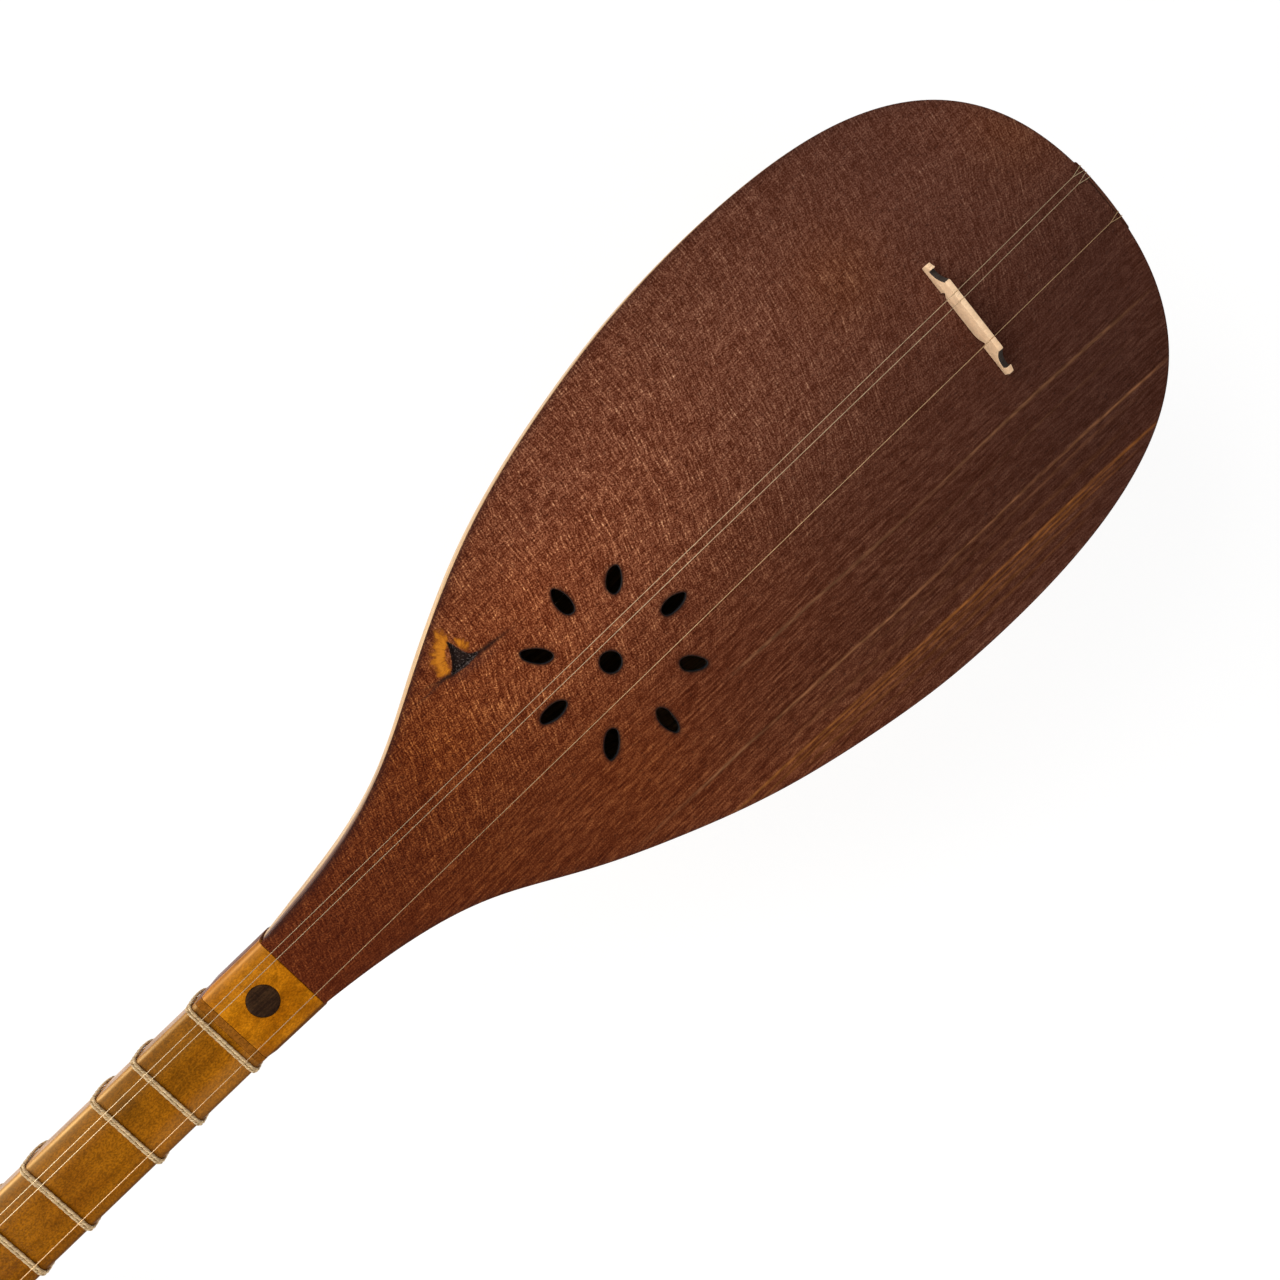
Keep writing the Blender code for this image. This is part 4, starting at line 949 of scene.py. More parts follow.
def seed_outline(index, grow):
    """One seed-shaped hole, a little uneven as cut by hand."""
    x, y, aim, long = SEED_CUTS[index]
    aim = math.radians(aim)
    wide = SEED_HALF + 0.12 * math.cos(index * 2.9)
    points = []
    for i in range(HOLE_SIDES):
        turn = TURN * i / HOLE_SIDES
        wave = 1 + 0.02 * math.sin(3 * turn + index) + 0.012 * math.sin(5 * turn + 2 * index)
        out = (long + grow) * math.cos(turn) * wave
        side = (wide + grow) * math.sin(turn) * (1 - 0.10 * math.cos(turn)) * wave
        points.append(((x + out * math.sin(aim) + side * math.cos(aim)) * MM,
                       (y + out * math.cos(aim) - side * math.sin(aim)) * MM))
    return points


def eye_outline(grow):
    """The round hole in the middle."""
    x, y, radius = EYE
    turns = [TURN * i / HOLE_SIDES for i in range(HOLE_SIDES)]
    return [((x + (radius + grow) * math.cos(t) * (1 + 0.015 * math.sin(3 * t))) * MM,
             (y + (radius + grow) * math.sin(t)) * MM) for t in turns]


def pit_outline():
    """The hollow of the knot: a curved triangle with ragged sides."""
    points = []
    for k in range(len(PIT_CORNERS)):
        a, b, c, d = (np.array(PIT_CORNERS[(k + j) % len(PIT_CORNERS)]) for j in (-1, 0, 1, 2))
        for t in (0.0, 0.25, 0.5, 0.75):
            bend = (2 * a - 5 * b + 4 * c - d) * t * t + (3 * b - a - 3 * c + d) * t ** 3
            spot = 0.5 * (2 * b + (c - a) * t + bend)
            jag = 0.16 * noise.noise(Vector((spot[0] * 1.7, spot[1] * 1.7, 0.0)))
            points.append(((spot[0] + jag) * MM, (spot[1] + jag) * MM))
    return points


def rim_weight(outline):
    """Strength of the dark rim: none at the joint line, weaker to the tail and at the far side."""
    y = outline[:, 1] / MM
    weight = np.interp(y, (-352, -210, -110, -0.5, -0.1), (0.35, 0.55, 1.0, 1.0, 0.0))
    far = np.interp(y, (-190, -130, -30, -10), (0.22, 0.55, 0.55, 0.3))
    return np.where(outline[:, 0] > 0.0, weight, far * weight)


def soundboard_mesh():
    bm = bmesh.new()
    rim, scorch, pit = (bm.verts.layers.float.new(name) for name in ("rim", "scorch", "pit"))

    def ring(outline, z, dark, layer):
        made = []
        for (x, y), value in zip(outline, np.broadcast_to(dark, len(outline))):
            vert = bm.verts.new((x, y, z))
            vert[layer] = value
            made.append(vert)
        return made

    def skirt(upper, lower, material):
        count = len(upper)
        for i in range(count):
            j = (i + 1) % count
            face = bm.faces.new((upper[i], upper[j], lower[j], lower[i]))
            face.material_index = material
            face.smooth = True

    def edges(loop):
        return [bm.edges.get((loop[i], loop[(i + 1) % len(loop)])) for i in range(len(loop))]

    # the edge, and rings on the top that draw close at the corners
    outline = board_outline()
    weight = rim_weight(outline)
    from_corner = np.minimum(np.abs(outline[:, 1]), np.abs(outline[:, 1] + TAIL_REACH))
    loops = [ring(inward(outline, BOARD_CHAMFER), -BOARD_THICKNESS, weight, rim),
             ring(outline, -BOARD_THICKNESS + BOARD_CHAMFER, weight, rim)]
    for i in range(5):
        turn = QUARTER * i / 4
        edge = inward(outline, BOARD_EDGE * (1 - math.cos(turn)))
        loops.append(ring(edge, BOARD_EDGE * (math.sin(turn) - 1), weight, rim))
    for step, distance in enumerate(RIM_RINGS):
        reach = np.minimum(distance * MM, (0.6 + 0.1 * step) * MM + 0.5 * from_corner)
        fade = np.exp(-(reach / MM - 0.45) / 1.3)
        loops.append(ring(inward(outline, reach), 0.0, weight * fade, rim))
    for lower, upper in zip(loops, loops[1:]):
        skirt(upper, lower, 0)
    top_edges, bottom_edges = edges(loops[-1]), edges(loops[0])

    makers = [eye_outline] + [lambda grow, k=k: seed_outline(k, grow) for k in range(len(SEED_CUTS))]
    for make in makers:
        hole = [ring(make(grow), z * MM, dark, scorch) for grow, z, dark in HOLE_WALL]
        for n, (upper, lower) in enumerate(zip(hole, hole[1:])):
            skirt(upper, lower, 0 if n < 4 else 1)
        top_edges += edges(hole[0])
        bottom_edges += edges(hole[-1])

    hollow = pit_outline()
    dips = [ring(inward(hollow, inset * MM), z * MM, dark, pit) for inset, z, dark in PIT_WALL]
    for upper, lower in zip(dips, dips[1:]):
        skirt(upper, lower, 0)
    bm.faces.new(dips[-1])
    top_edges += edges(dips[0])
    for group in (top_edges, bottom_edges):
        made = bmesh.ops.triangle_fill(bm, edges=group, use_beauty=True)
        for face in made["geom"]:
            if isinstance(face, bmesh.types.BMFace):
                face.smooth = False
    bmesh.ops.recalc_face_normals(bm, faces=bm.faces)
    mesh = bpy.data.meshes.new("soundboard")
    bm.to_mesh(mesh)
    bm.free()
    return mesh


piece("soundboard_oiled", soundboard_mesh(), "body", [BOARD, SCORCHED], "soundboard",
      slot="mulberry_board")


# Neck, heel and joint plate

HEEL_LENGTH = 27.3 * MM
PLATE_LENGTH = 24.7 * MM
PLATE_THICKNESS = 3.0 * MM
PLATE_EASE = 0.12 * MM
DOT_SEAT = 5.36 * MM
EDGE_RADIUS = 1.6 * MM
FINE_EDGE = 0.2 * MM
INNER_EDGE = 0.4 * MM
NECK_HALF, NECK_END_HALF = 13.95, 12.9
NECK_DEPTH, NECK_END_DEPTH = 26.0, 23.0
SCALE_LENGTH = 735.0 * MM
BRIDGE_REACH = 294.5 * MM
NUT_Y = SCALE_LENGTH - BRIDGE_REACH
NUT_THICKNESS = 3.2 * MM
NUT_SLOT_Y = NUT_Y - NUT_THICKNESS / 2 - GAP
NECK_END_Y = NUT_Y + NUT_THICKNESS / 2 + GAP
ARC_STEPS = 40
EDGE_STEPS = 5
BLOCK_REACHES = (42.0, 36.0, 28.0, 20.0, 12.0, 6.0)     # rings of the heel inside the bowl
FLARE_END = 24.5 * MM
FLARE_FADE = 3.5 * MM
FLARE_FROM = 8.0 * MM               # the top between these two x stays as it is
FLARE_PLUS_X = 0.4
FLARE_MINUS_X = (0.85, 0.55)        # at the sound box and 20 mm from it
FLARE_RINGS = [y * MM for y in (5.0, 10.0, 15.0, 20.0, 21.0, 22.75)] + [FLARE_END]


def section(half, deep, y, top=0.0, corner=EDGE_RADIUS, grow=0.0):
    """D section: flat top with rounded edges, sides and back on one boxy oval."""
    wide, rise, drop, power = oval(half, deep, 1.0)
    start = math.asin(raised((corner - top - drop) / rise, 1 / power))
    wide, rise = wide + grow, rise + grow
    arc = []
    for i in range(ARC_STEPS + 1):
        a = lerp(start, math.pi - start, i / ARC_STEPS)
        arc.append(Vector((wide * raised(math.cos(a), power), y,
                           -drop - rise * raised(math.sin(a), power))))
    ends = []
    radius = corner + grow
    for point, side in ((arc[0], 1), (arc[-1], -1)):
        turns = [QUARTER * j / EDGE_STEPS for j in range(1, EDGE_STEPS + 1)]
        ends.append([Vector((point.x - side * radius * (1 - math.cos(turn)), y,
                             lerp(point.z, top + grow, math.sin(turn)))) for turn in turns])
    return ends[0][::-1] + arc + ends[1]


def neck_size(y):
    share = (y - HEEL_LENGTH - GAP) / (NUT_Y - HEEL_LENGTH - GAP)
    half = lerp(NECK_HALF, NECK_END_HALF, max(0.0, share - 0.2) / 0.8)
    return half * MM, lerp(NECK_DEPTH, NECK_END_DEPTH, share) * MM


def heel_size(y):
    return NECK_HALF * MM, lerp(HEEL_DEPTH, NECK_DEPTH, y / HEEL_LENGTH) * MM


def neck_mesh():
    start = HEEL_LENGTH + 0.08 * MM
    ys = [lerp(start, NUT_SLOT_Y, i / 24) for i in range(25)]
    rings = [section(*neck_size(y), y) for y in ys]
    rings += [section(*neck_size(y), y, -2.0 * MM, FINE_EDGE) for y in (NUT_SLOT_Y, NECK_END_Y)]
    mesh = loft(rings, 40.0)
    for face in mesh.polygons:
        face.material_index = 1 if face.normal.z < 0.3 else 0
    return mesh


def flared(mesh):
    """The heel widens a little towards the sound box, more at the single string's side."""
    for vertex in mesh.vertices:
        x, y = vertex.co.x, vertex.co.y
        if y <= 0:
            continue
        near_box = max(0.0, min(1.0, (FLARE_END - y) / FLARE_FADE))
        wider = lerp(*FLARE_MINUS_X, y / (20.0 * MM)) if x < 0 else FLARE_PLUS_X
        at_edge = max(0.0, abs(x) - FLARE_FROM) / (NECK_HALF * MM - FLARE_FROM)
        vertex.co.x += math.copysign(wider * MM * near_box * min(1.0, at_edge), x)
    return mesh


def heel_mesh():
    cover = PLATE_LENGTH + 0.1 * MM
    inside, waist = 3.6 * MM, 3.4 * MM
    rings = []
    for reach in BLOCK_REACHES:
        half, deep = half_width(reach * MM) - inside, depth_at(reach * MM) - inside
        rings.append(section(half, deep, -reach * MM, -RIM, INNER_EDGE))
    half, deep = heel_size(0.0)
    rings.append(section(half - waist, deep - waist, GAP / 2, -RIM - GAP, INNER_EDGE))
    for y in (GAP / 2, *FLARE_RINGS, cover):
        rings.append(section(*heel_size(y), y, -PLATE_THICKNESS - GAP, FINE_EDGE))
    rings += [section(*heel_size(y), y) for y in (cover, lerp(cover, HEEL_LENGTH, 0.5), HEEL_LENGTH)]
    return flared(loft(rings, 40.0))


def plate_mesh():
    def ring(y, inset=0.0):
        half = heel_size(y)[0]
        right = [Vector((half, y, -PLATE_THICKNESS))]
        for j in range(EDGE_STEPS + 1):
            turn = QUARTER * j / EDGE_STEPS
            right.append(Vector((half - EDGE_RADIUS * (1 - math.cos(turn)), y,
                                 EDGE_RADIUS * (math.sin(turn) - 1) - inset)))
        return right + [Vector((-p.x, p.y, p.z)) for p in reversed(right)]

    rings = [ring(0.06 * MM, PLATE_EASE), ring(0.2 * MM)]
    rings += [ring(y) for y in FLARE_RINGS]
    rings += [ring(PLATE_LENGTH - 0.14 * MM), ring(PLATE_LENGTH, PLATE_EASE)]
    hole = tube_mesh(DOT_SEAT, -5 * MM, 5 * MM, 64, Matrix.Translation((0.0, PLATE_LENGTH / 2, 0.0)))
    return shade(flared(modified(loft(rings, 25.0), cut(hole))), 25.0)


def dot_mesh():
    profile = ((-3.0, 5.25), (-0.12, 5.25), (-0.02, 5.18), (0.03, 5.0), (0.06, 3.2))
    move = Matrix.Translation((0.0, PLATE_LENGTH / 2, 0.0))
    return turned([(z, r, r) for z, r in profile], 64, move, 30.0)


piece("neck_stick", neck_mesh(), "body", [NECK, NECK_SIDE], "neck", slot="neck_walnut")
piece("heel_block", heel_mesh(), "body", HEEL, "neck_block", slot="neck_walnut")
piece("joint_plate_wood", plate_mesh(), "body", PLATE, "joint_plate", slot="plate_apricot")
piece("inlay_disc", dot_mesh(), "body", DOT, "inlay_dot", slot="dot_walnut")


# Nut and bridge

STRING_DIAMETERS = (0.20 * MM, 0.20 * MM, 0.22 * MM)
AT_NUT = (7.9 * MM, 6.1 * MM, -11.4 * MM)
AT_BRIDGE = (9.5 * MM, 6.5 * MM, -8.7 * MM)     # from the middle of the bridge
AT_TAIL = (10.7 * MM, 7.9 * MM, -8.1 * MM)
AT_HOOK = (11.4 * MM, 7.2 * MM, -8.1 * MM)
NUT_HEIGHT = 2.2 * MM
NUT_HALF = 12.55 * MM
NUT_FOOT = -1.9 * MM
NUT_CORNER = 0.8 * MM
BRIDGE_HEIGHT = 8.0 * MM
BRIDGE_THICKNESS = 1.8 * MM
GROOVE = (0.20 * MM, 0.22 * MM)     # half width and depth

# The bridge stands a little askew
BRIDGE_SPOT = Vector((1.5 * MM, -292.8 * MM, GAP))
BRIDGE_PLACE = Matrix.Translation(BRIDGE_SPOT) @ Matrix.Rotation(math.radians(-2.6), 4, "Z")
BRIDGE_FOOT = [(-9.9, 0.0), (-9.7, 1.6), (-9.2, 2.9), (-8.6, 2.2), (-7.6, 1.1), (-6.4, 0.4),
               (-4.8, 0.05), (-4.0, 0.0), (7.4, 0.0), (8.6, 0.2), (9.6, 0.8), (10.3, 1.6),
               (10.8, 2.3), (11.2, 1.4), (11.4, 0.0)]


def grooved(points, places, top):
    """An outline carried on along its top, with a groove at each place."""
    for x in sorted(places, reverse=True):
        points = points + [(x + GROOVE[0], top), (x, top - GROOVE[1]), (x - GROOVE[0], top)]
    return points


def slab(outline, thickness, y):
    """An outline in X and Z, as thick as given along Y."""
    return loft([[Vector((px, y + side * thickness / 2, pz)) for px, pz in outline] for side in (-1, 1)],
                30.0)


def nut_mesh():
    turns = [QUARTER * i / 6 for i in range(7)]
    right = [(NUT_HALF - NUT_CORNER * (1 - math.cos(turn)), NUT_HEIGHT - NUT_CORNER * (1 - math.sin(turn)))
             for turn in turns]
    outline = grooved([(-NUT_HALF, NUT_FOOT), (NUT_HALF, NUT_FOOT)] + right, AT_NUT, NUT_HEIGHT)
    outline += [(-x, z) for x, z in reversed(right)]
    return shade(modified(slab(outline, NUT_THICKNESS, NUT_Y), bevel(0.25 * MM, 3)), 40.0)


def bridge_mesh():
    """Three feet parted by two small cuts, scooped shoulders and a horn at each end."""
    def shoulder(out, tip, low, near):
        dip = [lerp(tip[0] - 0.1, near, i / 8) for i in range(9)]
        rise = [low + (7.6 - low) * (i / 8) ** 2.6 for i in range(9)]
        horn = [(out, 0.0), (out + 0.2, 3.3), (out - 0.2, 3.6), tip]
        return [*horn, *zip(dip, rise), (near - 0.3, 7.85), (near - 0.7, 8.0)]

    right = shoulder(21.2, (19.3, 4.9), 3.1, 13.9)
    left = [(-x, z) for x, z in reversed(shoulder(21.4, (19.1, 4.8), 2.8, 13.3))]
    outline = grooved([(x * MM, z * MM) for x, z in right], AT_BRIDGE, BRIDGE_HEIGHT)
    outline += [(x * MM, z * MM) for x, z in left + BRIDGE_FOOT]
    mesh = modified(slab(outline, BRIDGE_THICKNESS, 0.0), bevel(0.12 * MM, 2, 40.0))
    shade(mesh, 35.0)

    # the upward faces of the two scoops are darkened
    for face in mesh.polygons:
        out, up = abs(face.center.x) / MM, face.center.z / MM
        scooped = 13.0 < out < 19.25 and 2.5 < up < 7.7
        if scooped and abs(face.normal.y) < 0.97 and face.normal.z > 0.03:
            face.material_index = 1
    mesh.transform(BRIDGE_PLACE)
    return mesh


piece("nut_ridge", nut_mesh(), "body", BONE, "nut", slot="nut_bone")
piece("bridge_bare", bridge_mesh(), "bridge", [BARE, SCOOP], "bridge", slot="bridge_maple")


# Tailpiece

TAIL_GLUE = 0.06 * MM
TAIL_FACE = -TAIL_REACH - TAIL_GLUE
TAIL_TOP = 0.05 * MM
HOOK_DROP = 9.0 * MM
HOOK_RADIUS = 1.2
HOOK_PROFILE = [(0.4, HOOK_RADIUS), (-0.1, HOOK_RADIUS), (-1.6, 1.16), (-2.2, 1.16), (-2.5, HOOK_RADIUS),
                (-2.8, 1.1), (-3.0, 0.7)]


def tail_back(x):
    """The outer face of the tail plate, on the round of the tail."""
    half = min(abs(x), TAIL_HALF)
    round_to = float(np.interp(half, LAST[:, 1], LAST[:, 0]))
    return -round_to - lerp(0.15, 0.40, (x / TAIL_HALF + 1) / 2) * MM - TAIL_GLUE


def tailpiece_mesh():
    """A thin crescent on the flat end of the bowl, its outer edge eased."""
    rings = []
    for share, inset in ((0.0, 0.0), (0.5, 0.0), (0.85, 0.05 * MM), (1.0, 0.2 * MM)):
        points = section(TAIL_HALF - inset, depth_at(TAIL_REACH) - inset, TAIL_FACE, TAIL_TOP - inset,
                         0.8 * MM)
        points += [points[-1].lerp(points[0], i / 15) for i in range(1, 15)]
        rings.append([Vector((p.x, lerp(TAIL_FACE, tail_back(p.x), share), p.z)) for p in points])
    return loft(rings, 30.0)


def hook_mesh(x):
    """A small turned pin with a lipped head, pointing to the tail."""
    move = Matrix.Translation((x, tail_back(x), -HOOK_DROP)) @ Matrix.Rotation(-QUARTER, 4, "X")
    return turned([(y, r, r) for y, r in HOOK_PROFILE], 28, move, 50.0)


piece("tail_plate", tailpiece_mesh(), "body", TAIL, "tailpiece", slot="tailpiece_walnut")
for k, x in enumerate(AT_HOOK, 1):
    piece(f"tail_pin_{k}", hook_mesh(x), "body", TAIL, slot="tailpiece_walnut")


# Tied frets

FRET_CENTS = (100, 200, 300, 400, 500, 600, 700, 800, 900, 991, 1076, 1211, 1294, 1415)
GUT_RADIUS = 0.53 * MM
GUT_PITCH = 0.93 * MM
KNOT_RADIUS = 0.36 * MM
KNOT_TURNS = 3
KNOT_STEPS = 20


def fret_path(y, number):
    """Two turns of gut round the neck, starting low on the single string's side."""
    ring = section(*neck_size(y), y, grow=GUT_RADIUS + 0.05 * MM)
    count = len(ring)
    start = int(count * 0.72)
    path = []
    for i in range(2 * count + 1):
        drift = GUT_PITCH * (i / count - 1.0)
        drift += 0.10 * MM * noise.noise(Vector((i * 0.11, number * 3.7, 0.0)))
        p = ring[(start + i) % count]
        path.append((p.x, y + drift, p.z))
    return soften(resample(path, 0.36 * MM), 2)


def knot_path(path, y):
    """Three tight turns over both strands and two cut ends."""
    at = Vector(path[0])
    along = (Vector(path[6]) - at).normalized()
    out = Vector((at.x, 0.0, at.z + 12.0 * MM)).normalized()
    neckwise = Vector((0, 1, 0))
    coil = []
    for i in range(KNOT_TURNS * KNOT_STEPS + 1):
        turn = TURN * i / KNOT_STEPS
        place = Vector((at.x, y, at.z)) + out * 0.12 * MM
        place += along * (0.75 * MM * (i / KNOT_STEPS - KNOT_TURNS / 2))
        coil.append(place + neckwise * 1.08 * MM * math.cos(turn)
                    + out * MM * max(-0.1, 0.80 * math.sin(turn)))
    head = [coil[0] + (out * 2.2 + neckwise * 0.9) * MM * s for s in (1.0, 0.6, 0.25)]
    tail = [coil[-1] + (out * 1.9 + neckwise * 0.2) * MM * s for s in (0.25, 0.6, 1.0)]
    return soften(resample(head + coil + tail, 0.3 * MM), 1)


for number, cents in enumerate(FRET_CENTS, 1):
    y = SCALE_LENGTH / 2 ** (cents / 1200) - BRIDGE_REACH
    path = fret_path(y, number)
    body = f"fret_{number:02d}"
    band = rope(path, GUT_RADIUS, plies=2, lay=2.6 * MM, depth=0.22)
    piece(f"gut_{number:02d}", band, body, GUT, body, slot="fret_gut")
    knot = rope(knot_path(path, y), KNOT_RADIUS, plies=2, lay=2.4 * MM, depth=0.2)
    piece(f"gut_knot_{number:02d}", knot, body, GUT, slot="fret_gut")


# Head and pegs

HEAD_STEP = 1.2 * MM
HEAD_DEPTH = 22.0 * MM
HEAD_CORNER = 3.0 * MM
HEAD_LENGTH = 102.0 * MM
HEAD_HALVES = (12.8, 11.0)      # at the nut and at the end
HEAD_Y = NECK_END_Y + GAP
HEAD_END_Y = HEAD_Y + HEAD_LENGTH
REST_Y = HEAD_END_Y - 34.0 * MM
REST_SLOPE = -ALONG.z / ALONG.y
PEG_IN_HEAD = 16.0
PEG_COLLAR = 12.0
PEG_RADII = (2.6, 3.1)          # at the end in the head and at the collar
PEG_HOLE = 3.28 * MM
PEG_PROFILE = [  # z from the head's face, half width, half depth
    (-PEG_IN_HEAD, 2.6, 2.6), (PEG_COLLAR, 3.1, 3.1), (12.05, 3.5, 3.5), (12.15, 4.3, 4.3),
    (12.5, 4.6, 4.6), (13.1, 4.6, 4.6), (13.5, 4.3, 4.3), (13.7, 3.7, 3.7), (14.3, 3.3, 3.3),
    (15.2, 3.2, 3.2), (16.0, 3.4, 3.25), (17.4, 4.7, 3.3), (19.8, 7.2, 3.45), (22.3, 9.1, 3.8),
    (24.8, 10.0, 4.0), (27.5, 10.0, 3.95), (30.8, 9.2, 3.68), (33.4, 7.6, 3.1), (34.8, 6.2, 2.5),
    (36.0, 4.4, 1.75), (36.6, 3.0, 1.2), (36.8, 1.4, 0.55)]


def head_half(y):
    return lerp(*HEAD_HALVES, (y - HEAD_Y) / HEAD_LENGTH) * MM


def head_ring(y, inset):
    """A box with round corners, its back cut to the slope of the rest."""
    half, top = head_half(y) - inset, -HEAD_STEP - inset
    bottom = -HEAD_STEP - HEAD_DEPTH + max(0.0, y - REST_Y) * REST_SLOPE + inset * 0.1
    upper, lower = top - HEAD_CORNER, bottom + HEAD_CORNER
    ring = []
    for quarter, (side, level) in enumerate(((1, upper), (-1, upper), (-1, lower), (1, lower))):
        for j in range(9):
            turn = QUARTER * (quarter + j / 8)
            ring.append(Vector((side * (half - HEAD_CORNER) + HEAD_CORNER * math.cos(turn), y,
                                level + HEAD_CORNER * math.sin(turn))))
    return ring


def seat(x, y, z, turn=0.0):
    """Where a peg sits: its axis leaves the head along its own +Z, turned about Y."""
    return Matrix.Translation((x, y, z)) @ Euler((0, turn, 0)).to_matrix().to_4x4()


SIDE_PEG_Y = NUT_Y + 46.0 * MM
PEG_SEATS = [seat(4.0 * MM, NUT_Y + 60.0 * MM, -HEAD_STEP),
             seat(1.5 * MM, NUT_Y + 30.0 * MM, -HEAD_STEP),
             seat(-head_half(SIDE_PEG_Y), SIDE_PEG_Y, -HEAD_STEP - 8.3 * MM, -QUARTER)]


def head_mesh():
    nose = 3.0 * MM
    ys = [(HEAD_Y - 0.2 * MM, 0.25 * MM), (HEAD_Y + 0.1 * MM, 0.0)]
    ys += [(lerp(HEAD_Y + 4 * MM, REST_Y, i / 6), 0.0) for i in range(7)]
    ys += [(lerp(REST_Y, HEAD_END_Y - nose, i / 4), 0.0) for i in range(1, 5)]
    ys += [(HEAD_END_Y - nose + nose * math.sin(a), nose / 2 * (1 - math.cos(a)))
           for a in (0.4, 0.8, 1.2, 1.5)]
    mesh = loft([head_ring(y, inset) for y, inset in ys], 30.0)
    floor = -PEG_IN_HEAD * MM - GAP
    steps = [cut(tube_mesh(PEG_HOLE, floor, 6 * MM, 40, move)) for move in PEG_SEATS]
    return shade(modified(mesh, *steps), 30.0)


piece("head_block", head_mesh(), "body", HEAD, "head", slot="neck_walnut")

# Material and slot of each string and of its turns on the peg
WIRES = [(STEEL, "string_steel"), (STEEL, "string_steel"), (BRONZE, "string_bronze")]
WINDING_START = 1.8 * MM
WINDING_TURNS = 3
WINDING_STEPS = 48


def winding_radius(z, diameter):
    share = (z / MM + PEG_IN_HEAD) / (PEG_IN_HEAD + PEG_COLLAR)
    return lerp(*PEG_RADII, share) * MM + diameter / 2 + 0.03 * MM


def winding_path(move, diameter):
    coil = []
    for i in range(WINDING_TURNS * WINDING_STEPS + 1):
        a = TURN * i / WINDING_STEPS
        z = WINDING_START + (diameter + 0.5 * MM) * i / WINDING_STEPS
        r = winding_radius(z, diameter)
        coil.append(move @ Vector((r * math.cos(a), r * math.sin(a), z)))
    return coil


for k, (move, diameter, (wire, slot)) in enumerate(zip(PEG_SEATS, STRING_DIAMETERS, WIRES), 1):
    peg = turned(PEG_PROFILE, 36, move, 50.0)
    piece(f"peg_turned_{k}", peg, f"peg_{k}", PEG, f"peg_{k}", slot="peg_walnut")
    coil = rope(winding_path(move, diameter), diameter / 2, 10)
    piece(f"wound_{k}", coil, f"peg_{k}", wire, f"winding_{k}", slot=slot)


# Strings

def loop_path(x, hook_x, radius, fork):
    """Down over the tail plate, round the pin and back up to the fork."""
    edge_z = TAIL_TOP + 0.03 * MM + radius
    back_y = tail_back(x)
    outside = back_y - 0.05 * MM - radius
    swing = HOOK_RADIUS * MM + 0.06 * MM + radius
    leg = 0.85 * MM

    def down(side):
        return [Vector((x + side * leg, TAIL_FACE, edge_z)), Vector((x + side * leg, back_y, edge_z)),
                Vector((x + side * leg, outside, edge_z - 2.5 * radius)),
                Vector((hook_x + side * swing, outside, -HOOK_DROP))]

    angles = [-math.pi * i / 16 for i in range(1, 16)]
    bend = [Vector((hook_x + swing * math.cos(a), outside, -HOOK_DROP + swing * math.sin(a)))
            for a in angles]
    back = down(-1)[::-1]
    back.append(back[-1].lerp(fork, 0.96))
    return down(1) + bend + back


def dense(path, step):
    made = []
    for a, b in zip(path, path[1:]):
        count = max(1, int((b - a).length / step))
        made += [a.lerp(b, i / count) for i in range(count)]
    return made + [path[-1]]


def string_path(k):
    """From the peg over nut and bridge to the loop at the tail."""
    radius = STRING_DIAMETERS[k] / 2
    start = Vector((winding_radius(WINDING_START, 2 * radius), -0.15 * MM, WINDING_START))
    nut = Vector((AT_NUT[k], NUT_Y, NUT_HEIGHT + radius - 0.1 * MM))
    bridge = BRIDGE_PLACE @ Vector((AT_BRIDGE[k], 0.0, BRIDGE_HEIGHT + radius - GROOVE[1]))
    edge = Vector((AT_TAIL[k], TAIL_FACE, TAIL_TOP + 0.03 * MM + radius))
    fork = edge.lerp(bridge, 4.0 * MM / (bridge.y - edge.y))
    path = dense([PEG_SEATS[k] @ start, nut, bridge, fork], 6.0 * MM)[:-1]
    return path + dense([fork] + loop_path(AT_TAIL[k], AT_HOOK[k], radius, fork), 0.4 * MM)


for k, (diameter, (wire, slot)) in enumerate(zip(STRING_DIAMETERS, WIRES)):
    string = rope(string_path(k), diameter / 2)
    piece(f"wire_{k + 1}", string, "body", wire, f"string_{k + 1}", slot=slot)

NODES["tail_block"].data.materials.clear()
NODES["tail_block"].data.materials.append(BLOCK)


# Floor, light and camera

FLOOR_HALF = 7.0
FLOOR_Z = -0.0002


def floor_material():
    """Pale floor: plain to other rays, lifted to white for the camera and mirrors, with a soft shadow."""
    mat = bpy.data.materials.new("floor_pale")
    mat.use_nodes = True
    mat.node_tree.nodes.clear()
    n = Nodes(mat.node_tree)
    plain = n.add("BsdfDiffuse", {"Color": grey(0.82)})
    faint = n.add("BsdfDiffuse", {"Color": grey(0.22)})
    lifted = n.add("AddShader", {0: faint, 1: n.add("Emission", {"Strength": 0.84})})
    seen = 0.0
    for ray in ("Is Camera Ray", "Is Glossy Ray", "Is Transmission Ray"):
        seen = n.math("MAXIMUM", seen, n.add("LightPath", {}, ray))
    n.make("OutputMaterial", {0: n.add("MixShader", {0: seen, 1: plain, 2: lifted})})
    return mat


def floor_mesh():
    mesh = bpy.data.meshes.new("floor")
    corners = ((-1, -1), (1, -1), (1, 1), (-1, 1))
    mesh.from_pydata([(x * FLOOR_HALF, y * FLOOR_HALF, FLOOR_Z) for x, y in corners], [], [(0, 1, 2, 3)])
    mesh.materials.append(floor_material())
    return mesh


floor = placed("floor", floor_mesh())


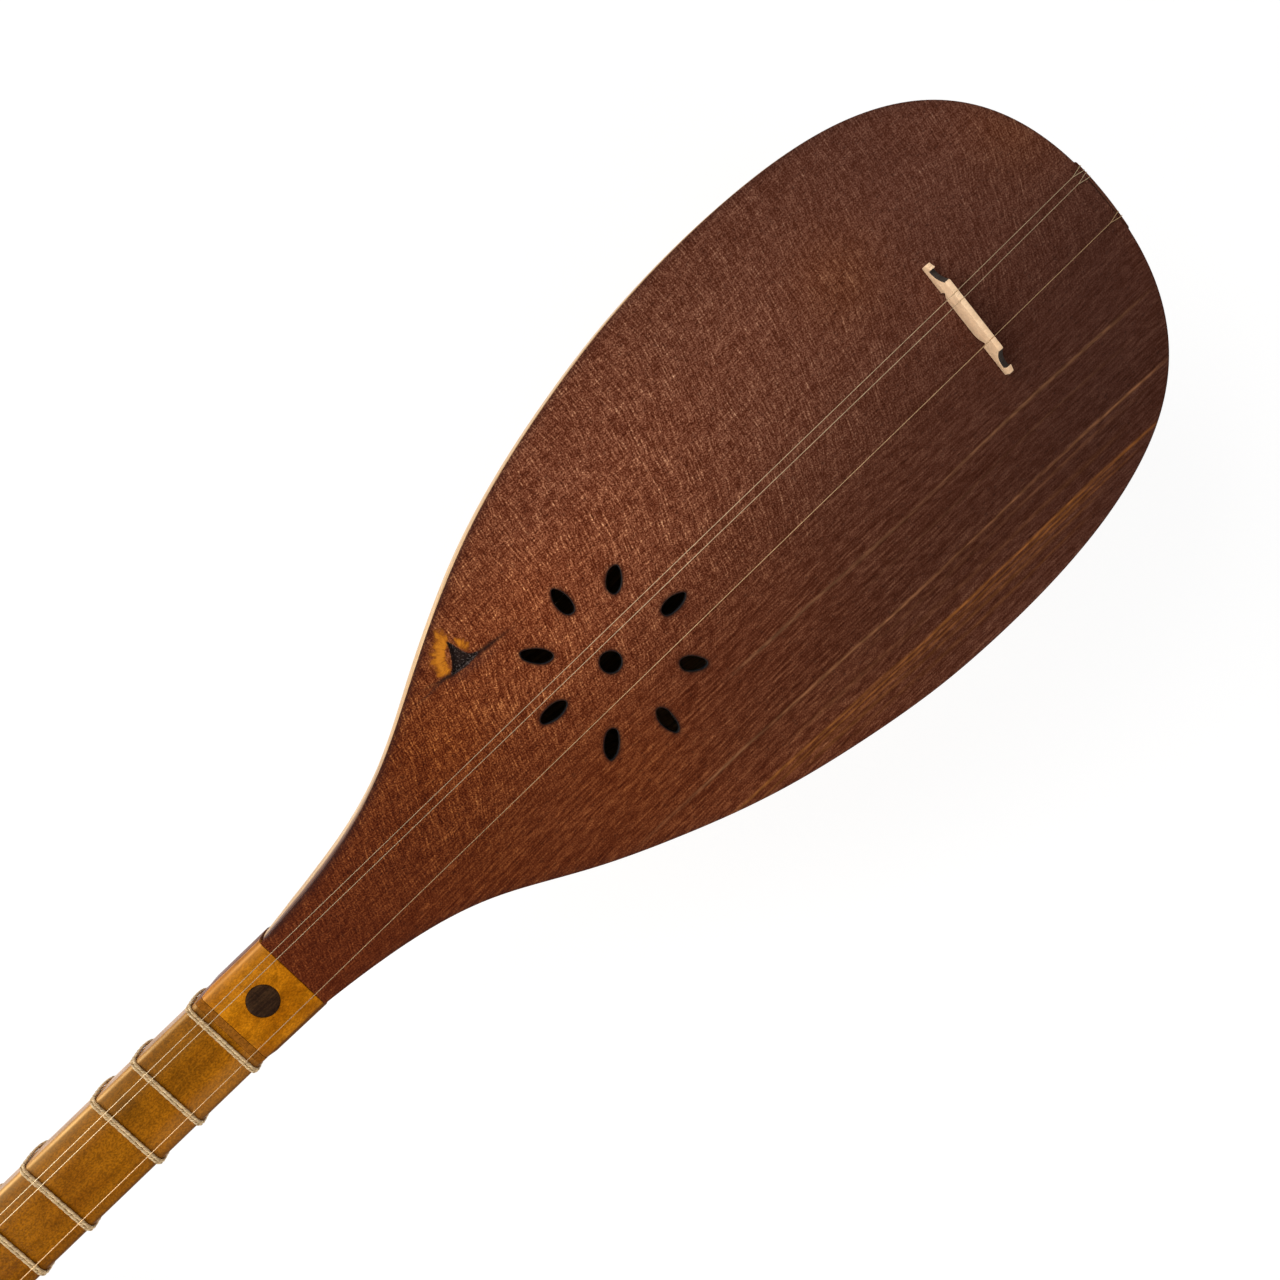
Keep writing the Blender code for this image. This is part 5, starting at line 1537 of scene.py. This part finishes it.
def studio_world():
    """Bright near the horizon, dim overhead; plain white where the camera sees it."""
    world = bpy.data.worlds.new("studio")
    bpy.context.scene.world = world
    world.use_nodes = True
    world.node_tree.nodes.clear()
    n = Nodes(world.node_tree)
    height = n.split(n.add("TexCoord", {}, "Generated"))[2]
    level = n.add("MapRange", {0: height, 1: 0.05, 2: 0.95, 3: 0.85, 4: 0.22})
    strength = n.add("Mix", {0: n.add("LightPath", {}, "Is Camera Ray"), 2: level, 3: 1.0})
    n.make("OutputWorld", {0: n.add("Background", {"Strength": strength})})


def softbox(name, place, size, power, colour=(1.0, 1.0, 1.0)):
    """A rectangular lamp aimed at the sound box."""
    data = bpy.data.lights.new(name, "AREA")
    data.shape = "RECTANGLE"
    data.size, data.size_y = size
    data.energy = power
    data.color = colour
    obj = placed(name, data)
    obj.location = place
    aim = HOME @ Vector((0.0, -0.15, 0.0))
    obj.rotation_euler = (aim - Vector(place)).to_track_quat("-Z", "Y").to_euler()


# Where the photograph was taken from, in the instrument's frame
CAMERA_PLACE = Vector((55.4, -142.66, 386.33)) * MM
CAMERA_RIGHT = Vector((-0.68374, -0.72120, 0.11119))
CAMERA_UP = Vector((0.71569, -0.69250, -0.09069))
CAMERA_BACK = Vector((0.14240, 0.01757, 0.98965))
FOCAL_SHARE = 1250.0 / 1280.0       # focal length over the width of the picture
SENSOR = 36.0


def make_camera():
    data = bpy.data.cameras.new("camera")
    data.sensor_width = SENSOR
    data.lens = SENSOR * FOCAL_SHARE
    data.clip_start, data.clip_end = 0.01, 50.0
    obj = placed("camera", data)
    turn = Matrix((CAMERA_RIGHT, CAMERA_UP, CAMERA_BACK)).transposed().to_4x4()
    obj.matrix_world = HOME @ Matrix.Translation(CAMERA_PLACE) @ turn
    bpy.context.scene.camera = obj


studio_world()
softbox("key", (1.25, 0.45, 0.95), (0.9, 1.4), 21.0, (1.0, 0.985, 0.96))
softbox("fill", (-1.3, -0.1, 1.1), (1.1, 1.4), 9.0)
softbox("head_side", (0.2, 1.5, 1.2), (1.2, 0.8), 9.0)
make_camera()
bpy.context.scene.view_settings.view_transform = "Standard"
